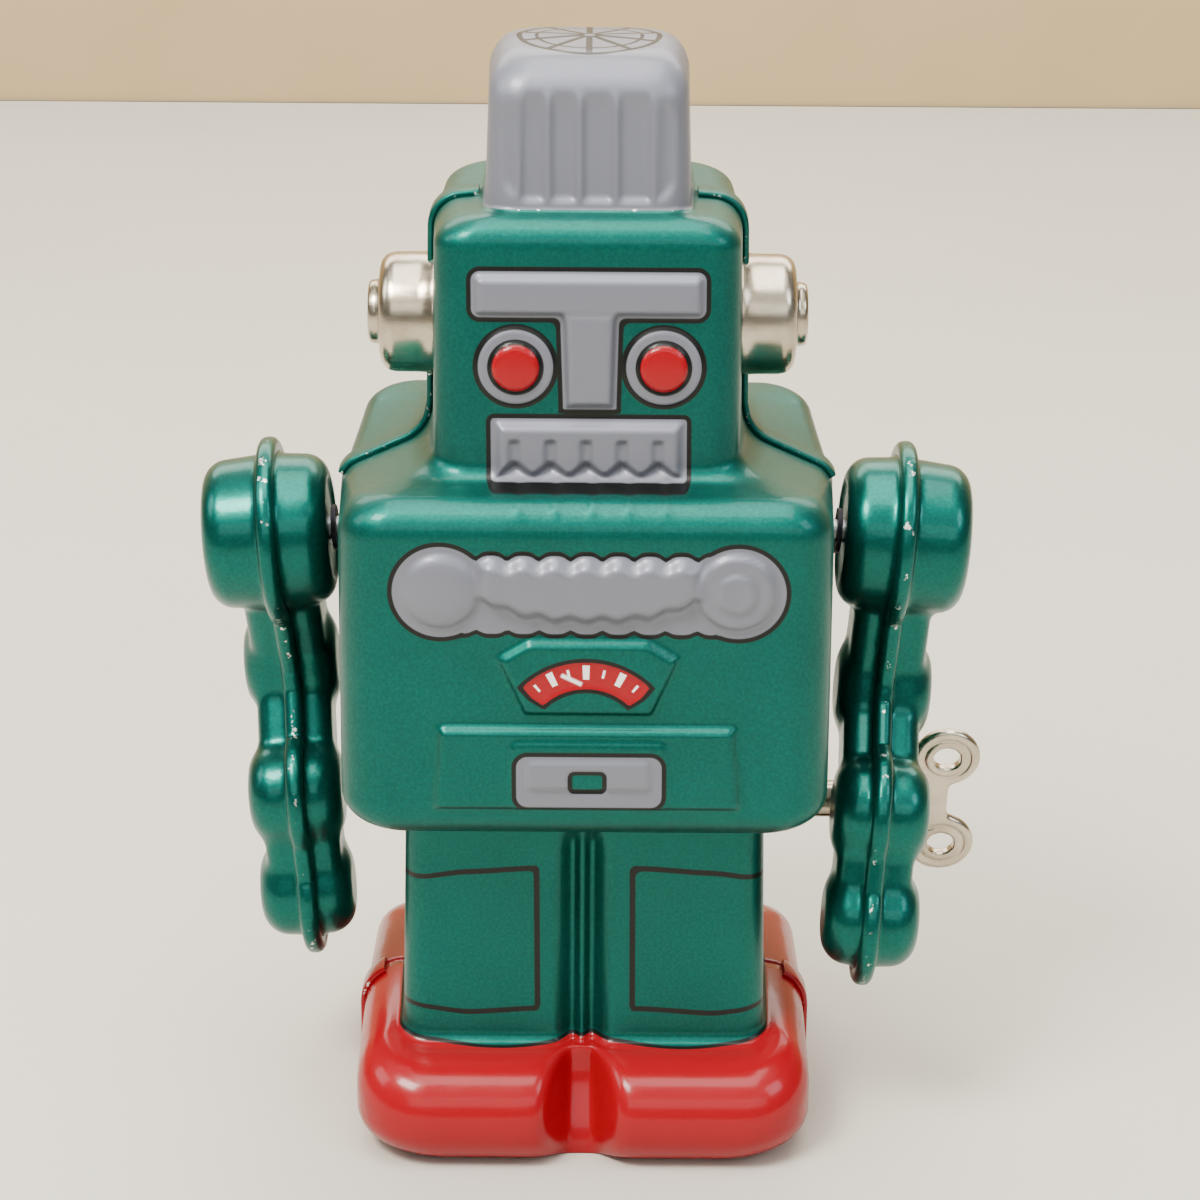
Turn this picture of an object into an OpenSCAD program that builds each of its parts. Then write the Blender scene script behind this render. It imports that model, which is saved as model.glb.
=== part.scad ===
// Tin wind-up walking robot: two pressed tin half shells around a clockwork
// that lifts two walking feet in turn through slots in the sole.
// Frame: +Z up, the face looks along -Y, origin on the floor, at the middle of the sole.

/* [Body shells] */
// Thickness of the tin sheet
sheet = 0.5; // [0.4:0.05:0.6]
// Half width of the hat
hat_hw = 10.6; // [10:0.1:11]
// Half width of the head
head_hw = 16.3; // [16:0.1:16.6]
// Half width of the torso
torso_hw = 26.6; // [26.2:0.1:26.8]
// Half width of the fused legs
leg_hw = 20.1; // [19.8:0.1:20.6]
// Half width over both shoes
shoe_hw = 25.8; // [25:0.1:26.4]
// Depth of the hat, from the seam to its front
hat_depth = 12; // [11:0.5:13]
// Depth of the head, from the seam to the face
head_depth = 16; // [15:0.5:17]
// Depth of the torso, from the seam to the chest
torso_depth = 24; // [23:0.5:25]
// Depth of the legs in front of the seam
leg_depth = 16; // [15.8:0.1:17]
// Depth of the legs behind the seam, where the clockwork sits
leg_back_depth = 18; // [17.8:0.1:19]
// Depth of the shoes, from the seam to the toe caps
shoe_depth = 25; // [24:0.5:26]

/* [Heights] */
// Top of the hat, the height of the robot
hat_top = 120; // [119:0.5:121]
// Top of the head
head_top = 103; // [102:0.5:104]
// Shoulders
torso_top = 76.5; // [76:0.1:77]
// Underside of the torso
torso_bottom = 39.3; // [39:0.1:40]
// Top of the shoes
shoe_top = 12.6; // [12:0.1:13]
// Height of the arms' pivots
shoulder_z = 65.3; // [65:0.1:66]
// Height of the ears' axis
ear_z = 90.2; // [89:0.1:91]

/* [Arms] */
// Distance of the arm's crimped flange from the middle, at the pivot
arm_x = 34; // [34:0.1:35]
// Lean of each arm towards the body
arm_lean = 4.4; // [3:0.1:4.6]
// How far back the left arm hangs, in degrees; the right one hangs straight
left_arm_back = 15; // [0:1:20]
// Radius of the shoulder drum
drum_r = 8.2; // [7.8:0.1:8.6]
// Width of the crimped flange outside the arm's wall
flange_w = 2; // [1:0.1:2.2]

/* [Key] */
// Distance of the key axis behind the seam
key_y = 6; // [5.9:0.1:6.1]
// Height of the key axis
key_z = 31.3; // [31:0.1:31.5]
// Distance of each loop's centre from the key axis
loop_offset = 6.15; // [5.6:0.05:6.2]
// Outer radius of a loop of the key
loop_r = 3.8; // [3.2:0.1:3.9]
// Turn of the bow about the key axis, with its upper loop towards the front
bow_turn = 15; // [0:1:20]

/* [Clockwork] */
// Gear module of the whole train
gear_m = 0.5; // [0.5]
// Teeth of the great wheel
great_teeth = 36; // [36]
// Teeth of the wheel on the crankshaft
crank_teeth = 36; // [36]
// Teeth of both pinions
pinion_teeth = 12; // [12]
// Throw of the cranks, which is the walking feet's travel each way
throw = 1.4; // [1:0.1:1.4]
// Radius of the mainspring's arbor
arbor_r = 1.25; // [1.2:0.05:1.3]
// Running clearance around every shaft
clear = 0.05; // [0.03:0.01:0.08]

/* [Hidden] */
$fn = 48;

green = [0.07, 0.50, 0.40];
nickel = [0.75, 0.71, 0.64];
brass = [0.78, 0.62, 0.30];
steel = [0.60, 0.61, 0.63];
dark = [0.14, 0.14, 0.15];

// Clockwork places: each axis is a [Y, Z] point and every shaft runs along X
pressure = 25;
great_r = gear_m * great_teeth / 2;
crank_r = gear_m * crank_teeth / 2;
pinion_r = gear_m * pinion_teeth / 2;
mesh_dir_1 = 225;
mesh_dir_2 = -25;
verge_dir = -40;
verge_distance = 7.2;
function to_micron(p) = [round(p[0] * 1000) / 1000, round(p[1] * 1000) / 1000];
function place(from, distance, angle) = to_micron(from + distance * [cos(angle), sin(angle)]);
key_at = [key_y, key_z];
crank_at = place(key_at, great_r + pinion_r, mesh_dir_1);
escape_at = place(crank_at, crank_r + pinion_r, mesh_dir_2);
verge_at = place(escape_at, verge_distance, verge_dir);
guide_at = crank_at + [0, 7.6];
plate_in = 8.2;
plate_t = 0.8;
plate_out = plate_in + plate_t;
crank_shaft_r = 0.9;
small_shaft_r = 0.6;

// Slots along X for the wheels
great_x = -7.4;
ratchet_x = -6.2;
spring_x = -4.6;
spring_w = 7;
crank_wheel_x = 3.6;
verge_x = 5.1;
escape_x = 6.2;
wheel_t = 1;
thin_t = 0.8;

ratchet_r = 4;
pillar_r = 1.1;
pillar_places = [[-11, 7], [-9.5, 44], [14.4, 7.4]];
spring_pillar_at = place(key_at, 13, 75);

// Shoulder pivots and ears
pin_r = 1.25;
bush_length = 3.5;
ear_r = 6.5;
ear_x = head_hw + 0.05;

// Walking feet
leg_x = 11.3;
leg_t = 1.2;
crank_disc_x = plate_out + 0.3;
pad_x = 9.9;
pad_w = 4.6;
pad_l = 13;
pad_h = 1.5;
pad_gap = 0.5;
sole_hw = 19.8;
sole_hl = 15.4;

// ---------- helpers ----------

// Draws its children in the Y-Z plane: their x becomes Y, their y becomes Z, and height runs along X
module along_x(x, at) {
    translate([x, at[0], at[1]]) rotate([90, 0, 90]) children();
}

module disc_x(x, at, r, length) {
    along_x(x, at) cylinder(r = r, h = length);
}

// Rectangle with round corners, drawn from circles and squares
module round_rect(x0, y0, x1, y1, r) {
    translate([x0 + r, y0]) square([x1 - x0 - 2 * r, y1 - y0]);
    translate([x0, y0 + r]) square([x1 - x0, y1 - y0 - 2 * r]);
    for (x = [x0 + r, x1 - r], y = [y0 + r, y1 - r]) translate([x, y]) circle(r);
}

// Box with round corners in plan (r_plan) and in the front view (r_front)
module soft_box(x0, x1, y0, y1, z0, z1, r_plan, r_front) {
    intersection() {
        translate([0, 0, z0]) linear_extrude(z1 - z0) round_rect(x0, y0, x1, y1, r_plan);
        translate([0, y1, 0]) rotate([90, 0, 0]) linear_extrude(y1 - y0)
            round_rect(x0, z0, x1, z1, r_front);
    }
}

// The whole robot body made smaller all over by g; the cavity is the body made smaller by the sheet
module body_form(g) {
    soft_box(-hat_hw + g, hat_hw - g, -hat_depth + g, hat_depth - g,
        head_top - 3, hat_top - g, 4 - g, 3.2 - g);
    soft_box(-head_hw + g, head_hw - g, -head_depth + g, head_depth - g,
        torso_top - 4, head_top - g, 4.2 - g, 3 - g);
    soft_box(-torso_hw + g, torso_hw - g, -torso_depth + g, torso_depth - g,
        torso_bottom + g, torso_top - g, 5 - g, 4.6 - g);
    soft_box(-leg_hw + g, leg_hw - g, -leg_depth + g, leg_back_depth - g,
        5, torso_bottom + 3, 3 - g, 1);
    for (side = [-1, 1]) {
        x_out = side * (shoe_hw - g);
        x_in = -side * (0.3 - g);
        soft_box(min(x_out, x_in), max(x_out, x_in), -shoe_depth + g, shoe_depth - g,
            g, shoe_top - g, 8 - g, 3.6 - g);
    }
    // inside, the two shoes are one space
    if (g > 0) translate([-3.7, -sole_hl - 1.6, g])
        cube([7.4, 2 * sole_hl + 3.2, shoe_top - 4]);
}

// The body's outline in the front view, grown by g
module outline(g) {
    round_rect(-head_hw - g, torso_top - 8, head_hw + g, head_top + g, 3 + g);
    round_rect(-torso_hw - g, torso_bottom - g, torso_hw + g, torso_top + g, 4.6 + g);
    round_rect(-shoe_hw - g, -6, shoe_hw + g, shoe_top + g, 3.6 + g);
}

// The back shell's edge laps over the front shell along the head, the shoulders and the shoes
module seam_lip() {
    lap = 2.2;
    proud = 0.6;
    intersection() {
        rotate([90, 0, 0]) linear_extrude(lap) difference() {
            outline(proud);
            outline(0.08);
        }
        union() {
            for (side = [-1, 1]) {
                translate([side * 14.5 - 3.4, -lap - 1, 97.2]) cube([6.8, lap + 2, 8]);
                translate([side * 22 - 6.2, -lap - 1, 73]) cube([12.4, lap + 2, 6]);
                translate([side * 24 - 3, -lap - 1, 0]) cube([6, lap + 2, 11]);
            }
        }
    }
    // joggle that joins the lap to the back shell's own wall
    intersection() {
        rotate([90, 0, 0]) translate([0, 0, -0.8]) linear_extrude(0.8) difference() {
            outline(proud);
            outline(-0.3);
        }
        union() {
            for (side = [-1, 1]) {
                translate([side * 14.5 - 3.4, 0, 97.2]) cube([6.8, 2, 8]);
                translate([side * 22 - 6.2, 0, 73]) cube([12.4, 2, 6]);
                translate([side * 24 - 3, 0, 0]) cube([6, 2, 11]);
            }
        }
    }
}

// Holes that both half shells share on the seam, and the open sole
module shell_holes() {
    for (side = [-1, 1]) shoulder_frame(side) disc_x(-12, [0, 0], pin_r + 0.15, 8);
    disc_x(leg_hw - 2, key_at, arbor_r + 0.35, 4);
    translate([-sole_hw - 0.1, -sole_hl - 0.1, -1]) cube([2 * sole_hw + 0.2, 2 * sole_hl + 0.2, 3]);
    for (side = [-1, 1], y = [-4, 4])
        translate([side * head_hw - 1.5, y - 1.7, ear_z - 0.4]) cube([3, 3.4, 0.8]);
}

// Tabs on the front shell that hook behind the back shell's wall
module seam_tabs() {
    for (side = [-1, 1]) {
        for (z = [48, 57]) side_tab(side, torso_hw, z);
        side_tab(side, head_hw, 80);
        side_tab(side, leg_hw, 20);
    }
}

module side_tab(side, hw, z) {
    t = 0.4;
    x = side * (hw - sheet - t / 2 - 0.04);
    translate([x - t / 2, -2.4, z]) cube([t, 4.8, 4]);
    translate([x - t / 2, -2.4, z]) cube([t + 0.12, 1.6, 4]);
}

// Leaning frame of one shoulder: local x points out of the body along the pivot
module shoulder_frame(side) {
    translate([side * arm_x, 0, shoulder_z]) rotate([0, side * arm_lean, 0])
        mirror([side < 0 ? 1 : 0, 0, 0]) children();
}

// ---------- gears ----------

function involute(a) = tan(a) * 180 / PI - a;
function polar(r, a) = [r * cos(a), r * sin(a)];

// Outline of an involute gear with its first tooth at angle 0; backlash thins each tooth
module gear_2d(teeth, backlash = 0.12) {
    rp = gear_m * teeth / 2;
    rb = rp * cos(pressure);
    ra = rp + 0.85 * gear_m;
    rf = rp - 1.15 * gear_m;
    r0 = max(rf, rb);
    half = 90 / teeth - backlash / (2 * rp) * 180 / PI + involute(pressure);
    function flank(r) = half - involute(acos(min(1, rb / r)));
    steps = [0 : 2];
    function r_at(i) = r0 + (ra - r0) * i / 2;
    pitch = 360 / teeth;
    polygon([for (k = [0 : teeth - 1]) each concat(
        [polar(rf, k * pitch - flank(r0) - 0.4)],
        [for (i = steps) polar(r_at(i), k * pitch - flank(r_at(i)))],
        [for (i = steps) polar(r_at(2 - i), k * pitch + flank(r_at(2 - i)))],
        [polar(rf, k * pitch + flank(r0) + 0.4)])]);
}

// Gear of the given thickness at x, turned so that tooth 0 points along angle a
module gear_x(teeth, x, at, t, a, bore) {
    along_x(x, at) difference() {
        linear_extrude(t) rotate(a) gear_2d(teeth);
        translate([0, 0, -1]) cylinder(r = bore, h = t + 2);
    }
}

// Sawtooth wheel: each tooth drops straight in towards the middle
module saw_2d(teeth, r_out, r_root) {
    pitch = 360 / teeth;
    polygon([for (k = [0 : teeth - 1]) each
        [polar(r_out, k * pitch), polar(r_root, k * pitch + 1.5)]]);
}

// ---------- casing ----------

module front_shell() {
    color(green) {
        difference() {
            intersection() {
                body_form(0);
                translate([-60, -60, -1]) cube([120, 60, 140]);
            }
            body_form(sheet);
            shell_holes();
        }
        seam_tabs();
    }
}

module back_shell() {
    color(green) {
        difference() {
            intersection() {
                body_form(0);
                translate([-60, 0, -1]) cube([120, 60, 140]);
            }
            body_form(sheet);
            shell_holes();
        }
        seam_lip();
    }
}

// Dished plate that closes the sole, with a slot for each walking foot
module sole_plate() {
    color(steel) difference() {
        union() {
            linear_extrude(0.6)
                round_rect(-sole_hw, -sole_hl, sole_hw, sole_hl, 1);
            translate([0, 0, 0.55]) linear_extrude(0.5)
                round_rect(-sole_hw - 1.5, -sole_hl - 1.5, sole_hw + 1.5, sole_hl + 1.5, 2);
        }
        for (side = [-1, 1]) {
            translate([side * (pad_x + pad_w / 2), crank_at[0], 0])
                cube([pad_w + 0.7, pad_l + 0.7, 6], center = true);
        }
        plate_tabs(0.06);
    }
}

// Tabs of the motor plates that go down through the sole plate
module plate_tabs(gap) {
    for (side = [-1, 1], y = [-11, 9]) {
        x = side * (plate_in + plate_t / 2);
        translate([x - plate_t / 2 - gap, y - gap, 0.1 - gap])
            cube([plate_t + 2 * gap, 3 + 2 * gap, 2]);
    }
}

// Drawn cup with a rounded rim and a flat boss in the middle
module ear(side) {
    rim = 1.4;
    cup = 6.15;
    boss_r = 3.4;
    boss = 1.2;
    color(nickel) {
        translate([side * ear_x, 0, ear_z]) rotate([0, side * 90, 0]) rotate_extrude()
            difference() {
                union() {
                    square([ear_r - rim, cup]);
                    square([ear_r, cup - rim]);
                    translate([ear_r - rim, cup - rim]) circle(rim);
                    square([boss_r, cup + boss]);
                }
                translate([-1, -1]) square([ear_r - sheet + 1, cup - rim + 1]);
                translate([0, -1]) square([ear_r - rim - sheet, cup - sheet + 1]);
            }
        for (y = [-4, 4]) ear_tab(side, y);
    }
}

// Tab on an ear's rim, pushed through the head and bent flat inside
module ear_tab(side, y) {
    x0 = head_hw - 1.2;
    x1 = ear_x + 2;
    length = x1 - x0;
    translate([side * (x0 + x1) / 2 - length / 2, y - 1.2, ear_z - 0.2]) cube([length, 2.4, 0.4]);
    foot = (ear_r * cos(asin(4 / ear_r)) - 0.3);
    translate([side * (ear_x + 1) - 1, y - 1.2, ear_z - foot]) cube([2, 2.4, 2 * foot]);
}

module ear_left() { ear(-1); }
module ear_right() { ear(1); }

// ---------- shoulders ----------

// Rivet that the arm turns on: its head is inside the drum and its foot is peened in the torso
module shoulder_pin(side) {
    foot = -9.6;
    head = -inner_depth + bush_length + 0.2;
    head_t = 0.8;
    color(steel) shoulder_frame(side) {
        disc_x(foot, [0, 0], 2.3, head_t);
        disc_x(foot + 0.7, [0, 0], pin_r, head - foot);
        disc_x(head, [0, 0], 2.6, head_t);
    }
}

module shoulder_bush(side) {
    length = 0.5;
    color(dark) shoulder_frame(side) difference() {
        disc_x(-inner_depth - 0.08 - length, [0, 0], 2.5, length);
        disc_x(-inner_depth - 3, [0, 0], pin_r + 0.02, 6);
    }
}

module shoulder_pin_left() { shoulder_pin(-1); }
module shoulder_pin_right() { shoulder_pin(1); }
module shoulder_bush_left() { shoulder_bush(-1); }
module shoulder_bush_right() { shoulder_bush(1); }

// ---------- motor frame ----------

module motor_plate(side) {
    x = side > 0 ? plate_in : -plate_out;
    color(steel) {
        difference() {
            along_x(x, [0, 0]) linear_extrude(plate_t) union() {
                round_rect(-13, 1.2, 16, 22, 1.5);
                round_rect(-12, 10, 16, 40, 1.5);
                round_rect(-12, 30, 13, 47, 1.5);
            }
            disc_x(x - 1, key_at, arbor_r + clear, 3);
            disc_x(x - 1, crank_at, crank_shaft_r + clear, 3);
            disc_x(x - 1, escape_at, small_shaft_r + clear, 3);
            disc_x(x - 1, verge_at, small_shaft_r + clear, 3);
            for (at = pillar_places) disc_x(x - 1, at, 0.72, 3);
            disc_x(x - 1, spring_pillar_at, 0.72, 3);
            disc_x(x - 1, guide_at, 0.77, 3);
        }
        intersection() {
            plate_tabs(0);
            translate([side * 20 - 20, -20, -1]) cube([40, 40, 10]);
        }
    }
}

module motor_plate_left() { motor_plate(-1); }
module motor_plate_right() { motor_plate(1); }

// Spacer between the plates, with a thinner neck riveted into each
module pillar(at) {
    color(brass) {
        disc_x(-plate_in, at, pillar_r, 2 * plate_in);
        disc_x(-plate_out - 0.3, at, 0.7, 2 * (plate_out + 0.3));
    }
}

module pillar_front_low() { pillar(pillar_places[0]); }
module pillar_front_high() { pillar(pillar_places[1]); }
module pillar_back_low() { pillar(pillar_places[2]); }
module spring_pillar() { pillar(spring_pillar_at); }

// Open spiral spring; its last half turn runs out to a loop around the spring pillar
spring_t = 0.28;
spring_in = arbor_r + 0.35;
spring_out = 9.2;
spring_turns = 6;
spring_steps = 24;
function spring_r(t) = spring_in + (spring_out - spring_in) * t / spring_turns
    + (t > spring_turns - 0.5 ? 2.6 * pow((t - spring_turns + 0.5) / 0.5, 2) : 0);
function spring_angle(t) = 75 + 360 * (t - spring_turns) - 3;

module mainspring() {
    n = spring_turns * spring_steps;
    color(steel) along_x(spring_x, key_at) difference() {
        linear_extrude(spring_w) union() {
            polygon(concat(
                [for (i = [0 : n]) polar(spring_r(i / spring_steps), spring_angle(i / spring_steps))],
                [for (i = [n : -1 : 0])
                    polar(spring_r(i / spring_steps) + spring_t, spring_angle(i / spring_steps))]));
            translate(spring_pillar_at - key_at) circle(pillar_r + 0.36);
        }
        translate(concat(spring_pillar_at - key_at, [-1])) cylinder(r = pillar_r + 0.02, h = spring_w + 2);
    }
}

// Post that keeps a walking leg upright; the leg's slot slides on it
module guide_post(side) {
    length = leg_x + leg_t + 0.9 - plate_in;
    x0 = side > 0 ? plate_in : -plate_in - length;
    head_x = side * (leg_x + leg_t + 0.65);
    color(brass) {
        disc_x(x0, guide_at, 0.75, length);
        disc_x(head_x - 0.25, guide_at, 1.5, 0.5);
    }
}

module guide_post_left() { guide_post(-1); }
module guide_post_right() { guide_post(1); }

// ---------- winder ----------

arbor_end = 27;

module spring_arbor() {
    color(steel) disc_x(-plate_out - 0.8, key_at, arbor_r, plate_out + 0.8 + arbor_end);
}

module ratchet_wheel() {
    color(steel) along_x(ratchet_x, key_at) difference() {
        linear_extrude(thin_t) rotate(-2.8) saw_2d(12, ratchet_r, 2.9);
        translate([0, 0, -1]) cylinder(r = arbor_r + 0.01, h = 3);
    }
}

// Key: a rolled tube with a flat bow that has two round loops
module winding_key() {
    tube_r = 2.1;
    tube_x = leg_hw + 0.9;
    bow_t = 1.2;
    loop_x = 41;
    neck_x = 35.2;
    eye_r = 1.6;
    color(nickel) difference() {
        union() {
            disc_x(tube_x, key_at, tube_r, neck_x + 1 - tube_x);
            translate([0, key_y, key_z]) rotate([90 + bow_turn, 0, 0])
                translate([0, 0, -bow_t / 2]) linear_extrude(bow_t) difference() {
                    union() {
                        for (s = [-1, 1]) translate([loop_x, s * loop_offset]) circle(loop_r);
                        translate([neck_x, -2.4]) square([loop_x - neck_x, 4.8]);
                        translate([loop_x - 2.8, -loop_offset]) square([2.6, 2 * loop_offset]);
                    }
                    for (s = [-1, 1]) translate([loop_x, s * loop_offset]) circle(eye_r);
                }
        }
        disc_x(leg_hw, key_at, arbor_r + 0.02, arbor_end + 0.3 - leg_hw);
    }
}

// ---------- great wheel ----------

// Click, measured from the key axis; it is lifted just clear of the ratchet's teeth
click_at = [-3.7, 5.2];
click_tip = [0, ratchet_r + 0.33];

module great_wheel() {
    color(brass) {
        gear_x(great_teeth, great_x, key_at, wheel_t, mesh_dir_1, arbor_r + clear);
    }
}

module click_stud() {
    color(steel) along_x(great_x + wheel_t, key_at + click_at) {
        cylinder(r = 0.6, h = 1.35);
        translate([0, 0, 1.1]) cylinder(r = 0.95, h = 0.3);
    }
}

// Pawl that lets the ratchet slip while the key winds, then drives the great wheel
module click() {
    color(steel) along_x(ratchet_x, key_at) difference() {
        linear_extrude(thin_t) union() {
            translate(click_at) circle(1.2);
            bar_2d(click_at, click_tip, 0.25);
        }
        translate(concat(click_at, [-1])) cylinder(r = 0.64, h = 3);
    }
}

// Straight bar with round ends
module bar_2d(p, q, r) {
    run = q - p;
    translate(p) circle(r);
    translate(q) circle(r);
    translate(p) rotate(atan2(run[1], run[0])) translate([0, -r]) square([norm(run), 2 * r]);
}

module click_spring() {
    foot = place([0, 0], 8.6, 80);
    tip = (click_at + click_tip) / 2 + [0.14, 0.6];
    color(steel) along_x(ratchet_x, key_at) {
        linear_extrude(thin_t - 0.2) bar_2d(foot, tip, 0.14);
        translate(concat(foot, [great_x + wheel_t - ratchet_x])) cylinder(r = 0.5, h = 0.8);
    }
}

// ---------- crankshaft ----------

module crankshaft() {
    color(steel) disc_x(-crank_disc_x - 0.85, crank_at, crank_shaft_r, 2 * (crank_disc_x + 0.85));
}

// The pinion has a gap, not a tooth, on the line to the great wheel
module crank_pinion() {
    a = mesh_dir_1 + 180 + 180 / pinion_teeth;
    color(brass) gear_x(pinion_teeth, great_x - 0.3, crank_at, 1.6, a, crank_shaft_r + 0.01);
}

module crank_wheel() {
    color(brass) {
        gear_x(crank_teeth, crank_wheel_x, crank_at, wheel_t, mesh_dir_2, crank_shaft_r + 0.01);
        along_x(crank_wheel_x - 1.2, crank_at) difference() {
            cylinder(r = 2, h = 1.3);
            translate([0, 0, -1]) cylinder(r = crank_shaft_r + 0.01, h = 4);
        }
    }
}

// Disc with a pin; the two pins are half a turn apart
module crank(side) {
    x = side > 0 ? crank_disc_x : -crank_disc_x - 1;
    pin_at = crank_at + [-side * throw, 0];
    pin_end = leg_x + leg_t + 0.6;
    color(steel) {
        difference() {
            disc_x(x, crank_at, 3, 1);
            disc_x(x - 1, crank_at, crank_shaft_r + 0.01, 3);
        }
        disc_x(side > 0 ? x + 0.9 : -pin_end, pin_at, 0.75, pin_end - crank_disc_x - 0.9);
    }
}

module crank_left() { crank(-1); }
module crank_right() { crank(1); }

// ---------- escapement ----------

module escape_shaft() {
    color(steel) disc_x(-plate_out - 0.2, escape_at, small_shaft_r, 2 * (plate_out + 0.2));
}

module escape_pinion() {
    a = mesh_dir_2 + 180 + 180 / pinion_teeth;
    color(brass) gear_x(pinion_teeth, crank_wheel_x - 0.3, escape_at, 1.6, a, small_shaft_r + 0.01);
}

module escape_wheel() {
    color(brass) along_x(escape_x, escape_at) difference() {
        linear_extrude(thin_t) rotate(verge_dir + escape_phase) saw_2d(escape_teeth, 5, 3.7);
        translate([0, 0, -1]) cylinder(r = small_shaft_r + 0.01, h = 3);
    }
}

module verge_shaft() {
    color(steel) disc_x(-plate_out - 0.2, verge_at, small_shaft_r, 2 * (plate_out + 0.2));
}

escape_teeth = 8;
escape_phase = 9;
verge_reach = 2.62;
verge_spread = 40;
function verge_pin_at(s) = place([0, 0], verge_reach, verge_dir + 180 + s * verge_spread);

// Rocking lever that holds the escape wheel back one tooth at a time
module verge_lever() {
    color(brass) along_x(verge_x, verge_at) difference() {
        linear_extrude(thin_t) union() {
            circle(1.4);
            for (s = [-1, 1]) bar_2d([0, 0], verge_pin_at(s), 0.6);
            bar_2d([0, 0], place([0, 0], 2.6, verge_dir), 0.9);
        }
        translate([0, 0, -1]) cylinder(r = small_shaft_r + 0.01, h = 3);
    }
}

module verge_pins() {
    color(steel) for (s = [-1, 1])
        disc_x(verge_x + thin_t, verge_at + verge_pin_at(s), 0.35, 1.4);
}

// ---------- walking feet ----------

// Flat strip driven by the crank pin in its window and kept upright by the post in its slot
module walking_leg(side) {
    x = side > 0 ? leg_x : -leg_x - leg_t;
    play = 0.15;
    window_hw = throw + 0.75 + play;
    window_hh = 2 * throw + 0.75 + play;
    slot_hh = throw + 0.75 + play;
    color(steel) difference() {
        along_x(x, [0, 0]) linear_extrude(leg_t) union() {
            round_rect(crank_at[0] - 5, crank_at[1] - 6, crank_at[0] + 5, guide_at[1] + 3.6, 1);
            round_rect(crank_at[0] - 3.5, pad_gap + pad_h, crank_at[0] + 3.5, crank_at[1] - 4, 0.5);
        }
        translate([x - 1, crank_at[0] - window_hw, crank_at[1] - window_hh])
            cube([leg_t + 2, 2 * window_hw, 2 * window_hh]);
        translate([x - 1, guide_at[0] - 0.8, guide_at[1] - slot_hh])
            cube([leg_t + 2, 1.6, 2 * slot_hh]);
    }
}

module foot_pad(side) {
    x = side > 0 ? pad_x : -pad_x - pad_w;
    color(dark) translate([x, crank_at[0] - pad_l / 2, pad_gap]) cube([pad_w, pad_l, pad_h]);
}

module walking_leg_left() { walking_leg(-1); }
module walking_leg_right() { walking_leg(1); }
module foot_pad_left() { foot_pad(-1); }
module foot_pad_right() { foot_pad(1); }

// ---------- arms ----------

// Arm outline points [Y, Z] from the pivot: elbow, wrist, cuff and claw
elbow = [1.6, -18.6];
wrist = [-6, -26];
cuff = [-9.8, -28.6];
claw = [-12.4, -40.2];

// Depths of the drum, the limbs and the lobes in each pressed half
outer_depth = 7.4;
outer_limb = 4.6;
outer_lobe = 5.8;
inner_depth = 6.2;
inner_limb = 4;
inner_lobe = 4.8;
lobe_r = 5.6;

// The arm's outline grown by g: limbs first, then the raised lobes
module arm_limbs(g) {
    bar_2d([0, 0], elbow, 4.8 + g);
    bar_2d(elbow, wrist, 4.2 + g);
    bar_2d(cuff, claw, 4.6 + g);
}

module arm_lobes(g) {
    for (at = [elbow, cuff]) translate(at) circle(lobe_r + g);
    translate(claw) circle(lobe_r - 0.2 + g);
}

// One pressed half: a drum, lobes and limbs of different depths, hollow, open at the flange
module arm_press(g, drum_depth, limb_depth, lobe_depth) {
    linear_extrude(drum_depth + g) circle(drum_r + g);
    linear_extrude(lobe_depth + g) arm_lobes(g);
    linear_extrude(limb_depth + g) arm_limbs(g);
}

module arm_half(drum_depth, limb_depth, lobe_depth) {
    rotate([90, 0, 90]) difference() {
        union() {
            arm_press(0, drum_depth, limb_depth, lobe_depth);
            linear_extrude(sheet) {
                circle(drum_r + flange_w);
                arm_lobes(flange_w);
                arm_limbs(flange_w);
            }
        }
        translate([0, 0, -0.01]) arm_press(-sheet, drum_depth, limb_depth, lobe_depth);
    }
}

// The shoulder's own frame, swung back for the left arm
module arm_frame(side) {
    shoulder_frame(side) rotate([side < 0 ? left_arm_back : 0, 0, 0]) children();
}

module arm_outer(side) {
    color(green) arm_frame(side) translate([0.02, 0, 0]) arm_half(outer_depth, outer_limb, outer_lobe);
}

// The inner half carries a bushed hole for the shoulder pin
module arm_inner(side) {
    color(green) arm_frame(side) difference() {
        union() {
            mirror([1, 0, 0]) arm_half(inner_depth, inner_limb, inner_lobe);
            disc_x(-inner_depth, [0, 0], 2.6, bush_length);
        }
        disc_x(-inner_depth - 1, [0, 0], pin_r + clear, 6);
    }
}

module arm_left_outer() { arm_outer(-1); }
module arm_left_inner() { arm_inner(-1); }
module arm_right_outer() { arm_outer(1); }
module arm_right_inner() { arm_inner(1); }

front_shell();
back_shell();
sole_plate();
ear_left();
ear_right();
shoulder_pin_left();
shoulder_pin_right();
shoulder_bush_left();
shoulder_bush_right();
motor_plate_left();
motor_plate_right();
pillar_front_low();
pillar_front_high();
pillar_back_low();
spring_pillar();
mainspring();
guide_post_left();
guide_post_right();
spring_arbor();
ratchet_wheel();
winding_key();
great_wheel();
click_stud();
click();
click_spring();
crankshaft();
crank_pinion();
crank_wheel();
crank_left();
crank_right();
escape_shaft();
escape_pinion();
escape_wheel();
verge_shaft();
verge_lever();
verge_pins();
walking_leg_left();
walking_leg_right();
foot_pad_left();
foot_pad_right();
arm_left_outer();
arm_left_inner();
arm_right_outer();
arm_right_inner();
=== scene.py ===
import math

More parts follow.
